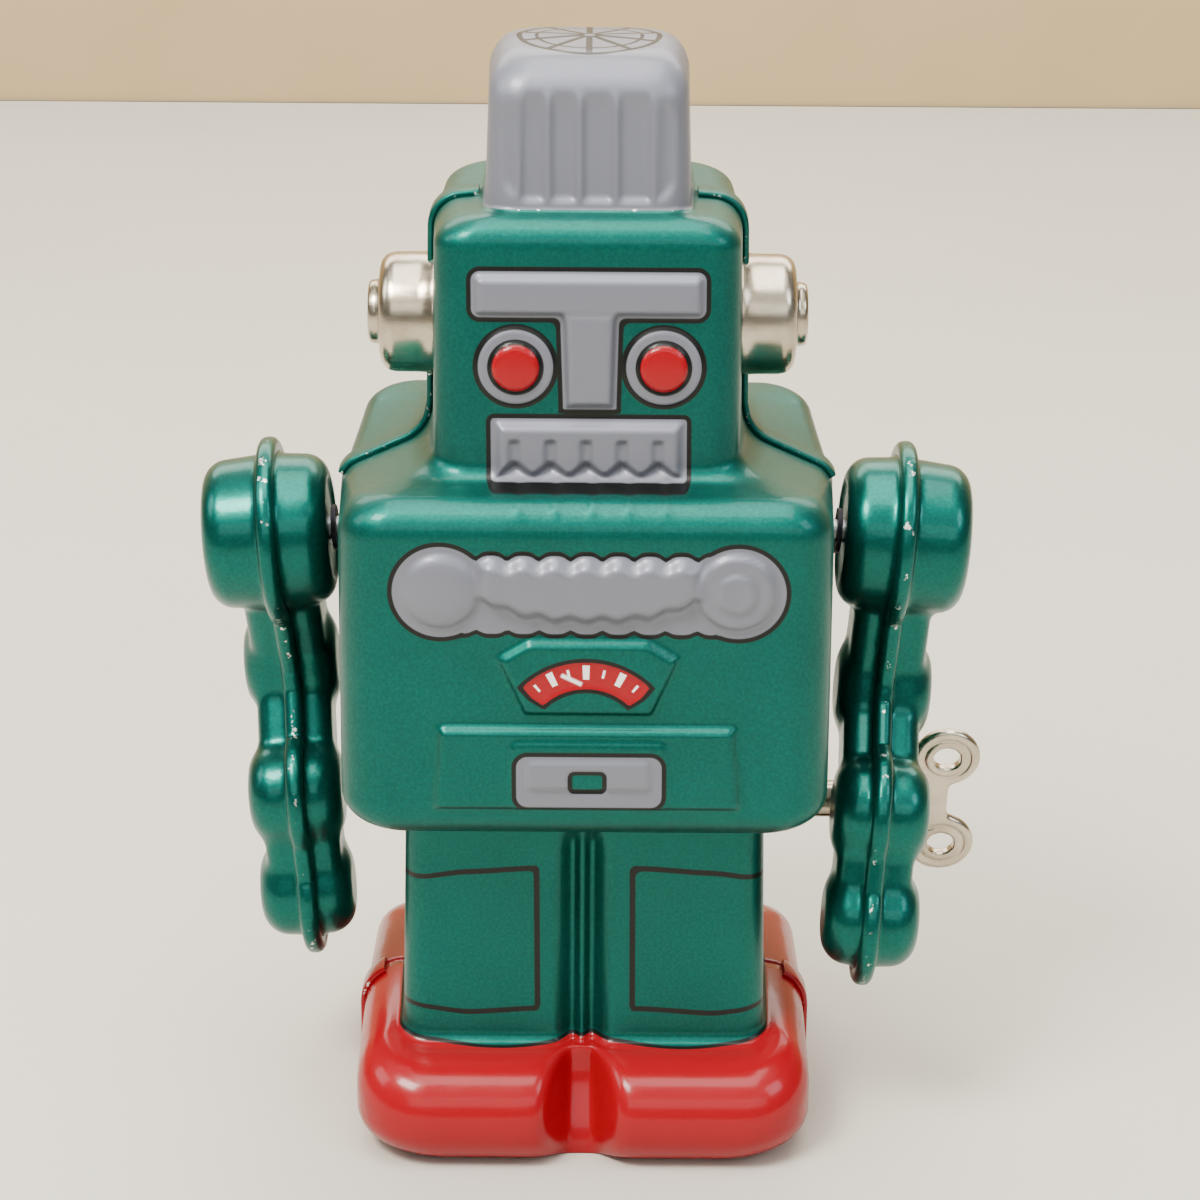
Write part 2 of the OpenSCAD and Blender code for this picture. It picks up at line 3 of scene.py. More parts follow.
import bpy
import bmesh
import numpy as np
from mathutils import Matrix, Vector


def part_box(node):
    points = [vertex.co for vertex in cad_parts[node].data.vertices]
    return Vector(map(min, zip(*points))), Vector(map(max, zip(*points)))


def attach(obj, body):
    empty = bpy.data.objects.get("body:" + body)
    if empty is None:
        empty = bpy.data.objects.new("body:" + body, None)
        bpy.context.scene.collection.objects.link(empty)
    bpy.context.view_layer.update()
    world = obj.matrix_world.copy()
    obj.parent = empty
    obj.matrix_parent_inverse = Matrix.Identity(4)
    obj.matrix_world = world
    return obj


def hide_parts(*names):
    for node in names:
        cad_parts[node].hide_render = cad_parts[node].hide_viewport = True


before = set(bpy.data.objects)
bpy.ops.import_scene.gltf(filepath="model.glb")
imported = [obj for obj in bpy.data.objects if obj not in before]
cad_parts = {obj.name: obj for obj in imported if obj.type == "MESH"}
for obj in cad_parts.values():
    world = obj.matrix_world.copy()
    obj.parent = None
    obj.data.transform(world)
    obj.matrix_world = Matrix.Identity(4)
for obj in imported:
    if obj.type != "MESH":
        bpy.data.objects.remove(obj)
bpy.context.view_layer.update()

import openvdb
from mathutils import Matrix, Vector

MM = 0.001
CASE = "case"


# ---------- camera, light, table ----------

def hex_colour(code):
    """sRGB hex to the linear colour that shaders and lights take."""
    parts = [int(code[i:i + 2], 16) / 255 for i in (1, 3, 5)]
    return [c / 12.92 if c <= 0.04045 else ((c + 0.055) / 1.055) ** 2.4 for c in parts] + [1.0]


def add_camera():
    """Standing a little above the robot, looking down on it by 20 degrees and turned a little off level."""
    camera = bpy.data.objects.new("camera", bpy.data.cameras.new("camera"))
    camera.data.lens = 100
    camera.data.sensor_width = 36
    camera.data.clip_start = 0.01
    camera.location = (0.0015, -0.345, 0.1839)
    look_down = Matrix.Rotation(math.radians(90 - 20.12), 3, "X")
    tilt = look_down @ Matrix.Rotation(math.radians(0.4), 3, "Z")
    camera.rotation_euler = tilt.to_euler()
    bpy.context.collection.objects.link(camera)
    bpy.context.scene.camera = camera


def add_soft_light(name, place, aim, size, power, colour="#ffffff"):
    light = bpy.data.lights.new(name, "AREA")
    light.shape = "RECTANGLE"
    light.size, light.size_y = size
    light.energy = power
    light.color = hex_colour(colour)[:3]
    lamp = bpy.data.objects.new(name, light)
    lamp.location = place
    lamp.rotation_euler = (Vector(aim) - Vector(place)).to_track_quat("-Z", "Y").to_euler()
    bpy.context.collection.objects.link(lamp)


def light_the_table():
    add_soft_light("key light", (-0.28, -0.30, 0.62), (0, 0, 0.07), (0.26, 0.18), 8.0, "#fff8ee")
    add_soft_light("ceiling light", (0.05, 0.0, 0.80), (0, 0, 0.05), (0.75, 0.50), 8.6, "#fffaf2")
    add_soft_light("side fill", (0.70, -0.36, 0.62), (0, 0, 0.06), (0.35, 0.35), 2.6, "#f2f6ff")
    add_soft_light("left fill", (-0.75, -0.06, 0.55), (0, 0, 0.06), (0.35, 0.35), 2.2, "#ffffff")
    add_soft_light("room light", (0.0, -0.9, 2.2), (0, -0.5, 0), (3.4, 3.4), 34.0, "#fffdf8")
    add_soft_light("back light", (0.0, 0.50, 0.44), (0, 0, 0.08), (0.9, 0.3), 5.5, "#fffaf2")
    add_soft_light("front light", (0.1, -0.80, 0.46), (0, 0, 0.09), (1.2, 0.30), 2.6, "#fffdf8")
    world = bpy.data.worlds.new("studio")
    bpy.context.scene.world = world
    world.use_nodes = True
    background = world.node_tree.nodes["Background"]
    background.inputs["Color"].default_value = hex_colour("#f1efea")
    background.inputs["Strength"].default_value = 0.26


# ---------- node and mesh helpers ----------

def add_node(tree, kind, inputs=None, **settings):
    """Adds one node with its settings; each input is a value, or a socket that feeds it."""
    node = tree.nodes.new(kind)
    for name, value in settings.items():
        setattr(node, name, value)
    for name, value in (inputs or {}).items():
        if isinstance(value, bpy.types.NodeSocket):
            tree.links.new(value, node.inputs[name])
        else:
            node.inputs[name].default_value = value
    return node


def link_piece(name, mesh, materials, body, replaced=()):
    """Puts a finished mesh in the scene, on its body."""
    piece = bpy.data.objects.new(name, mesh)
    bpy.context.collection.objects.link(piece)
    for material in materials:
        mesh.materials.append(material)
    mesh.polygons.foreach_set("use_smooth", [True] * len(mesh.polygons))
    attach(piece, body)
    if replaced:
        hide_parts(*replaced)
    return piece


def mesh_of(name, points, faces):
    mesh = bpy.data.meshes.new(name)
    mesh.from_pydata([tuple(p) for p in points], [], [tuple(f) for f in faces])
    mesh.update()
    return mesh


def set_field(mesh, name, values):
    """Stores one value per point, for the materials to read."""
    layer = mesh.attributes.new(name, "FLOAT", "POINT")
    layer.data.foreach_set("value", values.astype(np.float32))


def points_of(mesh):
    flat = np.zeros(len(mesh.vertices) * 3)
    mesh.vertices.foreach_get("co", flat)
    return flat.reshape(-1, 3)


def stand_up(mesh, along_x, along_y, along_z):
    """Gives the mesh new coordinates, one array per axis."""
    mesh.vertices.foreach_set("co", np.stack([along_x, along_y, along_z], axis=1).reshape(-1))


def middle_of(node, axis):
    """Middle of a part's box along one axis, in mm."""
    low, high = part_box(node)
    return (low[axis] + high[axis]) / 2 / MM


def waves(along, pitch):
    return np.cos(along * 2 * math.pi / pitch)


def smooth_step(low, high, value):
    t = np.clip((value - low) / (high - low), 0, 1)
    return t * t * (3 - 2 * t)


def unit(v):
    return v / np.linalg.norm(v)


# ---------- shapes in the front plane, in mm, positive inside ----------

def inside_box(x, z, x0, x1, z0, z1, r):
    qx = np.abs(x - (x0 + x1) / 2) - (x1 - x0) / 2 + r
    qz = np.abs(z - (z0 + z1) / 2) - (z1 - z0) / 2 + r
    out = np.hypot(np.maximum(qx, 0), np.maximum(qz, 0))
    return r - out - np.minimum(np.maximum(qx, qz), 0)


def inside_circle(x, z, cx, cz, r):
    return r - np.hypot(x - cx, z - cz)


def inside_polygon(x, z, corners):
    """For a convex outline given clockwise."""
    near = np.full(np.shape(x), 1e3)
    for (ax, az), (bx, bz) in zip(corners, corners[1:] + corners[:1]):
        run = math.hypot(bx - ax, bz - az)
        near = np.minimum(near, ((x - ax) * (bz - az) - (z - az) * (bx - ax)) / run)
    return near


def join_soft(a, b, k):
    """Joins two shapes with a fillet of about k in the inside corners."""
    h = np.clip(0.5 + 0.5 * (a - b) / k, 0, 1)
    return b + (a - b) * h + k * h * (1 - h)


# eyes, the scalloped bar across the chest and the teeth of the mouth
EYE_X, EYE_Z = 7.6, 88.85
SCALLOP_PITCH, SCALLOP_SHIFT = 3.25, 0.3


def brow_and_nose(x, z):
    bar = inside_box(x, z, -12.1, 11.9, 93.95, 98.7, 0.9)
    half = 2.87 + 0.13 * np.clip((z - 89.5) / 4.5, -1, 1)
    stem = np.minimum(half - np.abs(x), inside_box(x, z, -4, 4, 84.4, 95, 1.6))
    return join_soft(bar, stem, 0.8)


def mouth_plate(x, z):
    return inside_box(x, z, -10.2, 10.0, 77.0, 83.4, 0.35)


def phone_bar(x, z):
    """Two end discs joined by a bar with scalloped edges."""
    wave = 0.5 - 0.5 * waves(x + SCALLOP_SHIFT, SCALLOP_PITCH)
    top = 70.35 + 0.75 * np.sqrt(1 - np.clip(wave, 0, 1) ** 2 * 0.96)
    low = 63.15 - 0.55 * np.sqrt(1 - np.clip(wave, 0, 1) ** 2 * 0.96)
    middle = np.minimum(np.minimum(top - z, z - low), 13 - np.abs(x))
    discs = np.maximum(inside_circle(x, z, -15.35, 67.1, 4.9), inside_circle(x, z, 15.3, 67.1, 4.9))
    return np.maximum(middle, discs)


def buckle_hole(x, z):
    return inside_box(x, z, -2.3, 1.8, 45.2, 47.9, 0.7)


def buckle(x, z):
    return np.minimum(inside_box(x, z, -7.65, 7.5, 43.7, 49.4, 1.2), -buckle_hole(x, z))


DIAL_X, DIAL_Z = -0.35, 50.6
DIAL_R = 7.72


def dial_fields(x, z):
    """The red sector, the distance along its middle arc and the distance out from that arc."""
    radius = np.hypot(x - DIAL_X, z - DIAL_Z)
    angle = np.arctan2(x - DIAL_X, np.maximum(z - DIAL_Z, 0.01))
    along = angle * DIAL_R
    out = radius - DIAL_R
    sector = np.minimum(1.46 - np.abs(out), 6.35 - np.abs(along) - 0.15 * np.abs(out))
    return sector, along, out


def leg_panels(x, z):
    """Both printed rectangles; each runs on round the side of its leg, a little pinched there."""
    z = 24 + (z + 0.5 * smooth_step(5, 14, np.abs(x)) - 24) * (1 + 0.1 * smooth_step(13, 20, np.abs(x)))
    left = inside_box(x, z, -32, -5.8, 15.6, 32.5, 0.1)
    right = inside_box(x, z, 4.6, 32, 15.6, 32.5, 0.1)
    return np.maximum(left, right)


def pressed_relief(x, z):
    """How far the press raises the front of the tin, in mm, over the face, chest and belt."""
    # the forehead leans back a little above the brow
    lift = -0.022 * np.clip(z - 96, 0, 7) ** 2
    lift = lift + 0.95 * smooth_step(0.05, 0.95, brow_and_nose(x, z))
    # eyes: a flat ring with a red dome standing in it
    for cx in (-EYE_X, EYE_X):
        r = np.hypot(x - cx, z - EYE_Z)
        lift = np.maximum(lift, 0.35 * smooth_step(4.2, 3.6, r))
        lift = lift + 0.75 * smooth_step(2.75, 2.1, r) * (1 - 0.12 * (r / 2.4) ** 2)
    # mouth: a raised plate whose lower edge hangs in teeth, with a flute above each gap
    teeth = waves(x - 1.5, 3.7)
    plate = np.minimum(inside_box(x, z, -9.9, 9.7, 76.6, 83.2, 0.4), z - (77.75 - 0.5 * teeth))
    lift = lift + 0.95 * smooth_step(-0.1, 1.0, plate)
    flute = np.clip(-teeth, 0, 1) ** 1.5 * smooth_step(81.5, 80.9, z) * smooth_step(76.9, 79.8, z)
    lift = lift - 0.5 * flute * (np.abs(x) < 9.2)
    # the bar across the chest: a rounded middle, a dome on one end and a ring on the other
    scallop = 0.22 * waves(x + SCALLOP_SHIFT, SCALLOP_PITCH)
    low = 63.75 + 2.1 * (np.abs(x) / 10.8) ** 3 - scallop
    middle = np.minimum(np.minimum(70.9 + scallop - z, z - low), 11.9 - np.abs(x))
    lift = lift + 1.25 * smooth_step(-0.1, 1.5, middle)
    lift = lift + 0.16 * waves(x + SCALLOP_SHIFT, SCALLOP_PITCH) * smooth_step(68.6, 70.3, z) \
        * smooth_step(0, 0.7, middle)
    r = np.hypot(x + 15.3, z - 67.2)
    lift = lift + 1.1 * np.sqrt(np.clip(1 - (r / 4.25) ** 2, 0, 1)) * smooth_step(4.3, 3.5, r)
    r = np.hypot(x - 15.1, z - 67.3)
    lift = lift + 0.75 * smooth_step(4.3, 3.6, r) + 0.4 * smooth_step(2.3, 1.8, r)
    lift = lift - 0.12 * smooth_step(1.6, 0.8, r)
    # the dial's housing
    housing = inside_polygon(x, z, [(-6.3, 62.1), (6.1, 62.1), (9.5, 60), (6.6, 53.6), (-6.9, 53.6),
                                    (-9.8, 60)])
    lift = lift + 0.85 * smooth_step(0.0, 0.75, housing)
    lift = lift - 0.12 * smooth_step(0.0, 0.3, dial_fields(x, z)[0])
    # the belt panel, the ledge round the buckle and the buckle
    wide = 15.6 + 0.7 * np.clip((52.4 - z) / 9.5, 0, 1)
    belt = np.minimum(wide - np.abs(x + 0.3), inside_box(x, z, -20, 20, 42.9, 52.5, 0.1))
    lift = lift + 0.95 * smooth_step(0.0, 0.75, belt)
    lift = lift + 0.3 * smooth_step(0.0, 0.4, inside_box(x, z, -8.4, 8.2, 43.0, 51.0, 1.0))
    lift = lift + 0.35 * smooth_step(0.2, 0.6, inside_box(x, z, -6.9, 6.7, 45.4, 49.2, 0.9))
    lift = lift - 0.3 * smooth_step(-0.1, 0.3, buckle_hole(x, z))
    return lift


def hat_flutes(x, z):
    """Shallow channels up the front of the hat with narrow ridges left between them."""
    ridge = sum(np.exp(-((x - at) / 0.55) ** 2) for at in (-7.3, -4.25, -1.0, 2.7, 6.6))
    field = inside_box(x, z, -8.9, 8.9, 104.9, 115.9, 2.6)
    return -0.5 * (1 - np.clip(ridge, 0, 1)) * smooth_step(0, 0.8, field)


def chin_dimples(x, z, depth):
    """Little pinches where the neck was drawn over the mouth's relief."""
    row = np.exp(-((z - 76.4) / 0.9) ** 2) * (np.abs(x) < 9)
    return 0.35 * np.clip(waves(x - 0.3, 3.75), 0, 1) ** 2 * row * (depth > 15)


# ---------- the two pressed halves ----------

# A print field is a distance in mm inside its shape; this value is far outside, so nothing prints
NO_PRINT = -9.0
SHEET = 0.5

# Each bend of the sheet from the sole up, as (side line, front line, plan radius, draft, rows). A line gives
# half width or depth, height and bend radius; draft is how much the sides close towards the front, and rows
# is how many rows of the grid lie on the run up to the next bend.
FRONT_CORNERS = [
    ((20.0, 0.0, 0), (15.6, 0.0, 0), 2.0, 0.00, 7),                # edge of the sole
    ((25.0, 0.0, 4.6), (25.0, 0.0, 4.6), 8.0, 0.00, 6),            # shoe's lower edge
    ((25.0, 12.7, 4.1), (25.0, 11.4, 6.1), 8.0, 0.00, 9),          # shoe's upper edge
    ((20.2, 13.4, 1.0), (16.2, 11.3, 1.5), 3.0, 0.02, 30),         # ankle
    ((20.1, 39.3, 1.6), (16.2, 38.7, 1.6), 3.0, 0.05, 8),          # top of the legs
    ((26.9, 39.3, 5.0), (24.2, 39.3, 3.8), 5.0, 0.055, 86),        # torso's lower edge
    ((26.7, 73.2, 3.2), (24.2, 75.9, 4.0), 5.0, 0.055, 12),        # shoulders
    ((16.7, 77.8, 5.0), (16.9, 77.1, 1.9), 3.8, 0.05, 76),         # neck
    ((16.3, 103.0, 3.2), (15.3, 103.0, 3.3), 3.6, 0.045, 8),       # head's upper edge
    ((10.9, 103.5, 0.8), (12.4, 104.3, 0.8), 3.4, 0.03, 32),       # foot of the hat
    ((10.3, 120.0, 3.4), (11.0, 119.3, 5.5), 3.6, 0.03, 16),       # crown's edge
    ((5.0, 120.0, 0), (0.0, 120.0, 0), 3.6, 0.00, 0),              # middle of the crown
]
BEND_ROWS = 10
SHOE_TOP, ANKLE, LEG_TOP, TORSO_FOOT, NECK, HEAD_TOP, HAT_FOOT = 2, 3, 4, 5, 7, 8, 9
FRONT_LINE, ROW_COUNT = 1, 4
SIDE_COLUMNS, CORNER_COLUMNS, FRONT_COLUMNS = 12, 12, 56


def rounded_run(corners, rows):
    """Points along straight runs joined by arcs; every run has the number of rows given."""
    points = np.array([c[:2] for c in corners], float)
    run = []
    here = points[0]
    for i in range(1, len(points)):
        if i == len(points) - 1:
            there = points[i]
        else:
            back, ahead = unit(points[i - 1] - points[i]), unit(points[i + 1] - points[i])
            turn = math.acos(np.clip(np.dot(-back, ahead), -1, 1))
            reach = corners[i][2] * math.tan(turn / 2)
            there = points[i] + back * reach
        for t in np.arange(rows[i - 1]) / rows[i - 1]:
            run.append(here + (there - here) * t)
        if i < len(points) - 1:
            centre = points[i] + unit(back + ahead) * corners[i][2] / math.cos(turn / 2)
            start, end = there - centre, points[i] + ahead * reach - centre
            a0 = math.atan2(start[1], start[0])
            sweep = (math.atan2(end[1], end[0]) - a0 + math.pi) % (2 * math.pi) - math.pi
            for t in np.arange(BEND_ROWS) / BEND_ROWS:
                a = a0 + sweep * t
                run.append(centre + corners[i][2] * np.array([math.cos(a), math.sin(a)]))
            here = points[i] + ahead * reach
    run.append(points[-1])
    return np.array(run)


def along_rows(values, rows):
    """A value per corner, held round each bend and blended along each run."""
    out = []
    for i in range(1, len(values)):
        out += list(values[i - 1] + (values[i] - values[i - 1]) * np.arange(rows[i - 1]) / rows[i - 1])
        if i < len(values) - 1:
            out += [values[i]] * BEND_ROWS
    return np.array(out + [values[-1]], float)


def row_of_corner(corner, rows):
    return sum(rows[:corner]) + BEND_ROWS * (corner - 1) + BEND_ROWS // 2


def leg_cleft(x):
    """Depth of the double groove between the legs."""
    across = np.abs(x + 0.2)
    rib = 1.05 * np.exp(-(across / 0.62) ** 2)
    return 1.95 * np.exp(-(np.maximum(across - 0.9, 0) / 1.35) ** 2) - rib


def press_half(corners, way, front):
    """Grid of one pressed half. way is -1 for the front and 1 for the back."""
    rows = [c[ROW_COUNT] for c in corners[:-1]]
    side = rounded_run([c[0] for c in corners], rows)
    fore = rounded_run([c[1] for c in corners], rows)
    plan_r = along_rows([c[2] for c in corners], rows)
    draft = along_rows([c[3] for c in corners], rows)
    # on the shoe's top and under the torso the corner's radius changes with the travel across
    for low, high in ((SHOE_TOP, ANKLE), (LEG_TOP, TORSO_FOOT)):
        start = row_of_corner(low, rows) - BEND_ROWS // 2
        end = row_of_corner(high, rows) + BEND_ROWS // 2
        travel = (side[start:end, 0] - side[start, 0]) / (side[end - 1, 0] - side[start, 0])
        plan_r[start:end] = corners[low][2] + (corners[high][2] - corners[low][2]) * travel
    side_mm = np.concatenate([[0], np.cumsum(np.hypot(*np.diff(side, axis=0).T))])
    fore_mm = np.concatenate([[0], np.cumsum(np.hypot(*np.diff(fore, axis=0).T))])
    depth = fore[:, 0]
    half = SIDE_COLUMNS + CORNER_COLUMNS + FRONT_COLUMNS
    blend = smooth_step(0, SIDE_COLUMNS + CORNER_COLUMNS, np.arange(half + 1))[None, :]
    r = np.minimum(plan_r, depth * 0.9)[:, None]
    narrow = (side[:, 0] - draft * np.maximum(depth - r[:, 0], 0))[:, None]
    r = np.minimum(r, narrow * 0.9)
    x = np.zeros((len(side), half + 1))
    y = np.zeros_like(x)
    t = (np.arange(SIDE_COLUMNS) / SIDE_COLUMNS)[None, :]
    x[:, :SIDE_COLUMNS] = side[:, :1] + (narrow - side[:, :1]) * t
    y[:, :SIDE_COLUMNS] = (depth[:, None] - r) * t
    a = (np.arange(CORNER_COLUMNS) / CORNER_COLUMNS * math.pi / 2)[None, :]
    span = slice(SIDE_COLUMNS, SIDE_COLUMNS + CORNER_COLUMNS)
    x[:, span] = narrow - r + r * np.cos(a)
    y[:, span] = depth[:, None] - r + r * np.sin(a)
    t = np.arange(FRONT_COLUMNS + 1) / FRONT_COLUMNS
    t = (1 - (0.8 * (1 - t) + 0.2 * (1 - t) ** 2))[None, :]
    x[:, SIDE_COLUMNS + CORNER_COLUMNS:] = (narrow - r) * (1 - t)
    y[:, SIDE_COLUMNS + CORNER_COLUMNS:] = depth[:, None]
    z = side[:, 1:2] * (1 - blend) + fore[:, 1:2] * blend
    mm = side_mm[:, None] * (1 - blend) + fore_mm[:, None] * blend
    x = np.concatenate([-x, x[:, -2::-1]], axis=1)
    y, z, mm = [np.concatenate([g, g[:, -2::-1]], axis=1) for g in (y, z, mm)]
    face = np.zeros(half + 1)
    face[SIDE_COLUMNS:SIDE_COLUMNS + CORNER_COLUMNS] = np.sin(a[0])
    face[SIDE_COLUMNS + CORNER_COLUMNS:] = 1
    face = np.concatenate([face, face[-2::-1]])[None, :]
    # the shoes part in a deep cleft whose floor stands straight, and the legs in a double groove
    d = np.broadcast_to(depth[:, None], x.shape)
    open_toe = np.exp(-(np.maximum(np.abs(x + 0.25 * front) - 0.85, 0) / 2.2) ** 2)
    floor = (17.0 if front else 18.4) + 3.6 * smooth_step(9.5, 0.5, z)
    sink = np.maximum(d - floor, 0) * open_toe * (mm < mm[row_of_corner(LEG_TOP, rows)][None, :])
    row = np.arange(len(side))[:, None]
    on_leg = smooth_step(row_of_corner(SHOE_TOP, rows), row_of_corner(ANKLE, rows), row) \
        * smooth_step(37.6, 34.6, z) * (row < row_of_corner(LEG_TOP, rows))
    sink = sink + on_leg * leg_cleft(x) * face
    lift = np.zeros_like(x)
    # the tools sat a little to the right of the middle, and more so lower down
    middle = x
    x = x - (0.55 - 0.0064 * (z - 46))
    if front:
        chest = (row > row_of_corner(LEG_TOP, rows)) & (row < row_of_corner(HEAD_TOP, rows))
        lift = pressed_relief(x, z) * chest * face
        lift = lift + hat_flutes(x, z) * (row > row_of_corner(HAT_FOOT, rows)) * face
        lift = lift + chin_dimples(x, z, d) * chest * face
    fields = {
        "shoe": mm[row_of_corner(ANKLE, rows)][None, :] - mm - 0.2
        + 0.55 * np.cos(np.clip(np.abs(x) / 20, 0, 1) * 2 * math.pi) * face,
        "hat": mm - mm[row_of_corner(HAT_FOOT, rows)][None, :],
        "wear": np.exp(-((mm - mm[row_of_corner(HAT_FOOT, rows)][None, :]) / 0.5) ** 2)
        + 0.8 * np.exp(-((mm - mm[row_of_corner(NECK, rows)][None, :]) / 2.2) ** 2) * (face < 0.9),
    }
    nothing = np.full(x.shape, NO_PRINT)
    if front:
        sector, along, out = dial_fields(x, z)
        torso = (row > row_of_corner(LEG_TOP, rows))
        fields["silver"] = np.where(torso & (z < 100), np.maximum.reduce(
            [brow_and_nose(x, z), mouth_plate(x, z), phone_bar(x, z), buckle(x, z)]), nothing)
        fields["eye"] = np.minimum(np.hypot(x + EYE_X, z - EYE_Z), np.hypot(x - EYE_X, z - EYE_Z))
        fields["panel"] = np.where(torso, nothing, leg_panels(x, z))
        fields["dial"] = np.where(torso, sector, nothing)
        fields["dial_along"], fields["dial_out"] = along, out
    else:
        for name in ("silver", "panel", "dial", "dial_along", "dial_out"):
            fields[name] = nothing
        fields["eye"] = -nothing
    fields = {name: np.clip(f, NO_PRINT, -NO_PRINT) for name, f in fields.items()}
    grid = np.stack([middle, way * (y - sink + lift), z], axis=2)
    return grid, fields, side


def grid_normals(grid, way):
    du = np.gradient(grid, axis=1)
    dv = np.gradient(grid, axis=0)
    n = np.cross(du, dv) * (1 if way < 0 else -1)
    length = np.linalg.norm(n, axis=2, keepdims=True)
    return n / np.maximum(length, 1e-9)


def shell_mesh(name, corners, way, front):
    """Outer sheet at full detail, an inner sheet half a millimetre in, and the edge between."""
    grid, fields, side = press_half(corners, way, front)
    rows, columns = grid.shape[:2]
    every = 4
    leg_top = row_of_corner(LEG_TOP, [c[ROW_COUNT] for c in corners[:-1]])
    inner = (grid - SHEET * grid_normals(grid, way))[:, ::every]
    # the inner sheet stays behind the deepest groove near it
    for j in range(inner.shape[1]):
        near = slice(max(j * every - 7, 0), j * every + 8)
        deepest = (way * grid[:leg_top, near, 1]).min(axis=1) - 0.45
        if abs(grid[0, j * every, 0]) < 9:
            inner[:leg_top, j, 1] = way * np.minimum(way * inner[:leg_top, j, 1], deepest)
        if abs(grid[leg_top + 60, j * every, 0]) < 19:
            deepest = (way * grid[leg_top:, near, 1]).min(axis=1) - 0.4
            inner[leg_top:, j, 1] = way * np.minimum(way * inner[leg_top:, j, 1], deepest)
    inner[:, 0] = grid[:, 0] - np.array([-SHEET, 0, 0])
    inner[:, -1] = grid[:, -1] - np.array([SHEET, 0, 0])
    inner[:, :, 1] = way * np.maximum(way * inner[:, :, 1], 0)
    inner[0, :, 2] = grid[0, ::every, 2]
    inner[-1, :, 1] = 0
    inner[-1, :, 2] = grid[-1, ::every, 2] - SHEET
    thin = inner.shape[1]
    outer_id = np.arange(rows * columns).reshape(rows, columns)
    inner_id = rows * columns + np.arange(rows * thin).reshape(rows, thin)
    faces = []
    for i in range(rows - 1):
        for j in range(columns - 1):
            faces.append((outer_id[i, j], outer_id[i, j + 1], outer_id[i + 1, j + 1], outer_id[i + 1, j]))
    outer_count = len(faces)
    for i in range(rows - 1):
        for j in range(thin - 1):
            faces.append((inner_id[i, j], inner_id[i + 1, j], inner_id[i + 1, j + 1], inner_id[i, j + 1]))
    for i in range(rows - 1):
        faces.append((outer_id[i, 0], outer_id[i + 1, 0], inner_id[i + 1, 0], inner_id[i, 0]))
        faces.append((outer_id[i + 1, -1], outer_id[i, -1], inner_id[i, -1], inner_id[i + 1, -1]))
    for j in range(thin - 1):
        low = [outer_id[0, k] for k in range(every * (j + 1), every * j - 1, -1)]
        faces.append(tuple(low) + (inner_id[0, j], inner_id[0, j + 1]))
        top = [outer_id[-1, k] for k in range(every * j, every * (j + 1) + 1)]
        faces.append(tuple(top) + (inner_id[-1, j + 1], inner_id[-1, j]))
    if way > 0:
        faces = [f[::-1] for f in faces]
    points = np.concatenate([grid.reshape(-1, 3), inner.reshape(-1, 3)]) * MM
    mesh = mesh_of(name, points, faces)
    for label, field in fields.items():
        set_field(mesh, label, np.concatenate([field.reshape(-1), np.full(rows * thin, NO_PRINT)]))
    index = np.ones(len(mesh.polygons), np.int32)
    index[:outer_count] = 0
    return mesh, index, side


def set_sides(mesh, index):
    mesh.polygons.foreach_set("material_index", index)
    mesh.update()


# ---------- arms and key, as fields that a mesh is drawn over ----------

def rounded_slab(flat, low, high, r):
    """Distance outside a flat shape standing from low to high, with its edges rounded by r."""
    def at(height):
        up = np.abs(height - (low + high) / 2) - (high - low) / 2 + r
        side = flat + r
        return np.hypot(np.maximum(side, 0), np.maximum(up, 0)) + np.minimum(np.maximum(side, up), 0) - r
    return at


def blend_soft(a, b, k):
    h = np.clip(0.5 + 0.5 * (b - a) / k, 0, 1)
    return b + (a - b) * h - k * h * (1 - h)


def outside_bar(u, v, p, q, r):
    px, py = u - p[0], v - p[1]
    bx, by = q[0] - p[0], q[1] - p[1]
    t = np.clip((px * bx + py * by) / (bx * bx + by * by), 0, 1)
    return np.hypot(px - bx * t, py - by * t) - r


def mesh_over(field, low, step):
    """Closed surface where the field is zero; returns points in mm and faces."""
    grid = openvdb.FloatGrid()
    grid.copyFromArray(np.ascontiguousarray(field, dtype=np.float32))
    points, triangles, quads = grid.convertToPolygons(isovalue=0.0, adaptivity=0.0)
    faces = [tuple(q[::-1]) for q in quads] + [tuple(t[::-1]) for t in triangles]
    return np.array(low) + points * step, faces


SHOULDER = (34.0, 65.3)
LEAN = math.radians(4.4)
LEFT_ARM_BACK = math.radians(15)
ELBOW, WRIST, CUFF, CLAW = (1.6, -18.6), (-6.0, -26.0), (-9.8, -28.6), (-12.4, -40.2)
ARM_STEP = 0.32
DRUM_R, UPPER_R, FOREARM_R, HAND_R = 8.2, 4.7, 4.1, 4.4
LOBES = ((ELBOW, 5.6), (CUFF, 5.6), (CLAW, 5.4))


def outside_limbs(u, v):
    """Distances outside the upper arm, the forearm and the hand, seen from the side."""
    return (outside_bar(u, v, (0, 0), ELBOW, UPPER_R), outside_bar(u, v, ELBOW, WRIST, FOREARM_R),
            outside_bar(u, v, CUFF, CLAW, HAND_R))


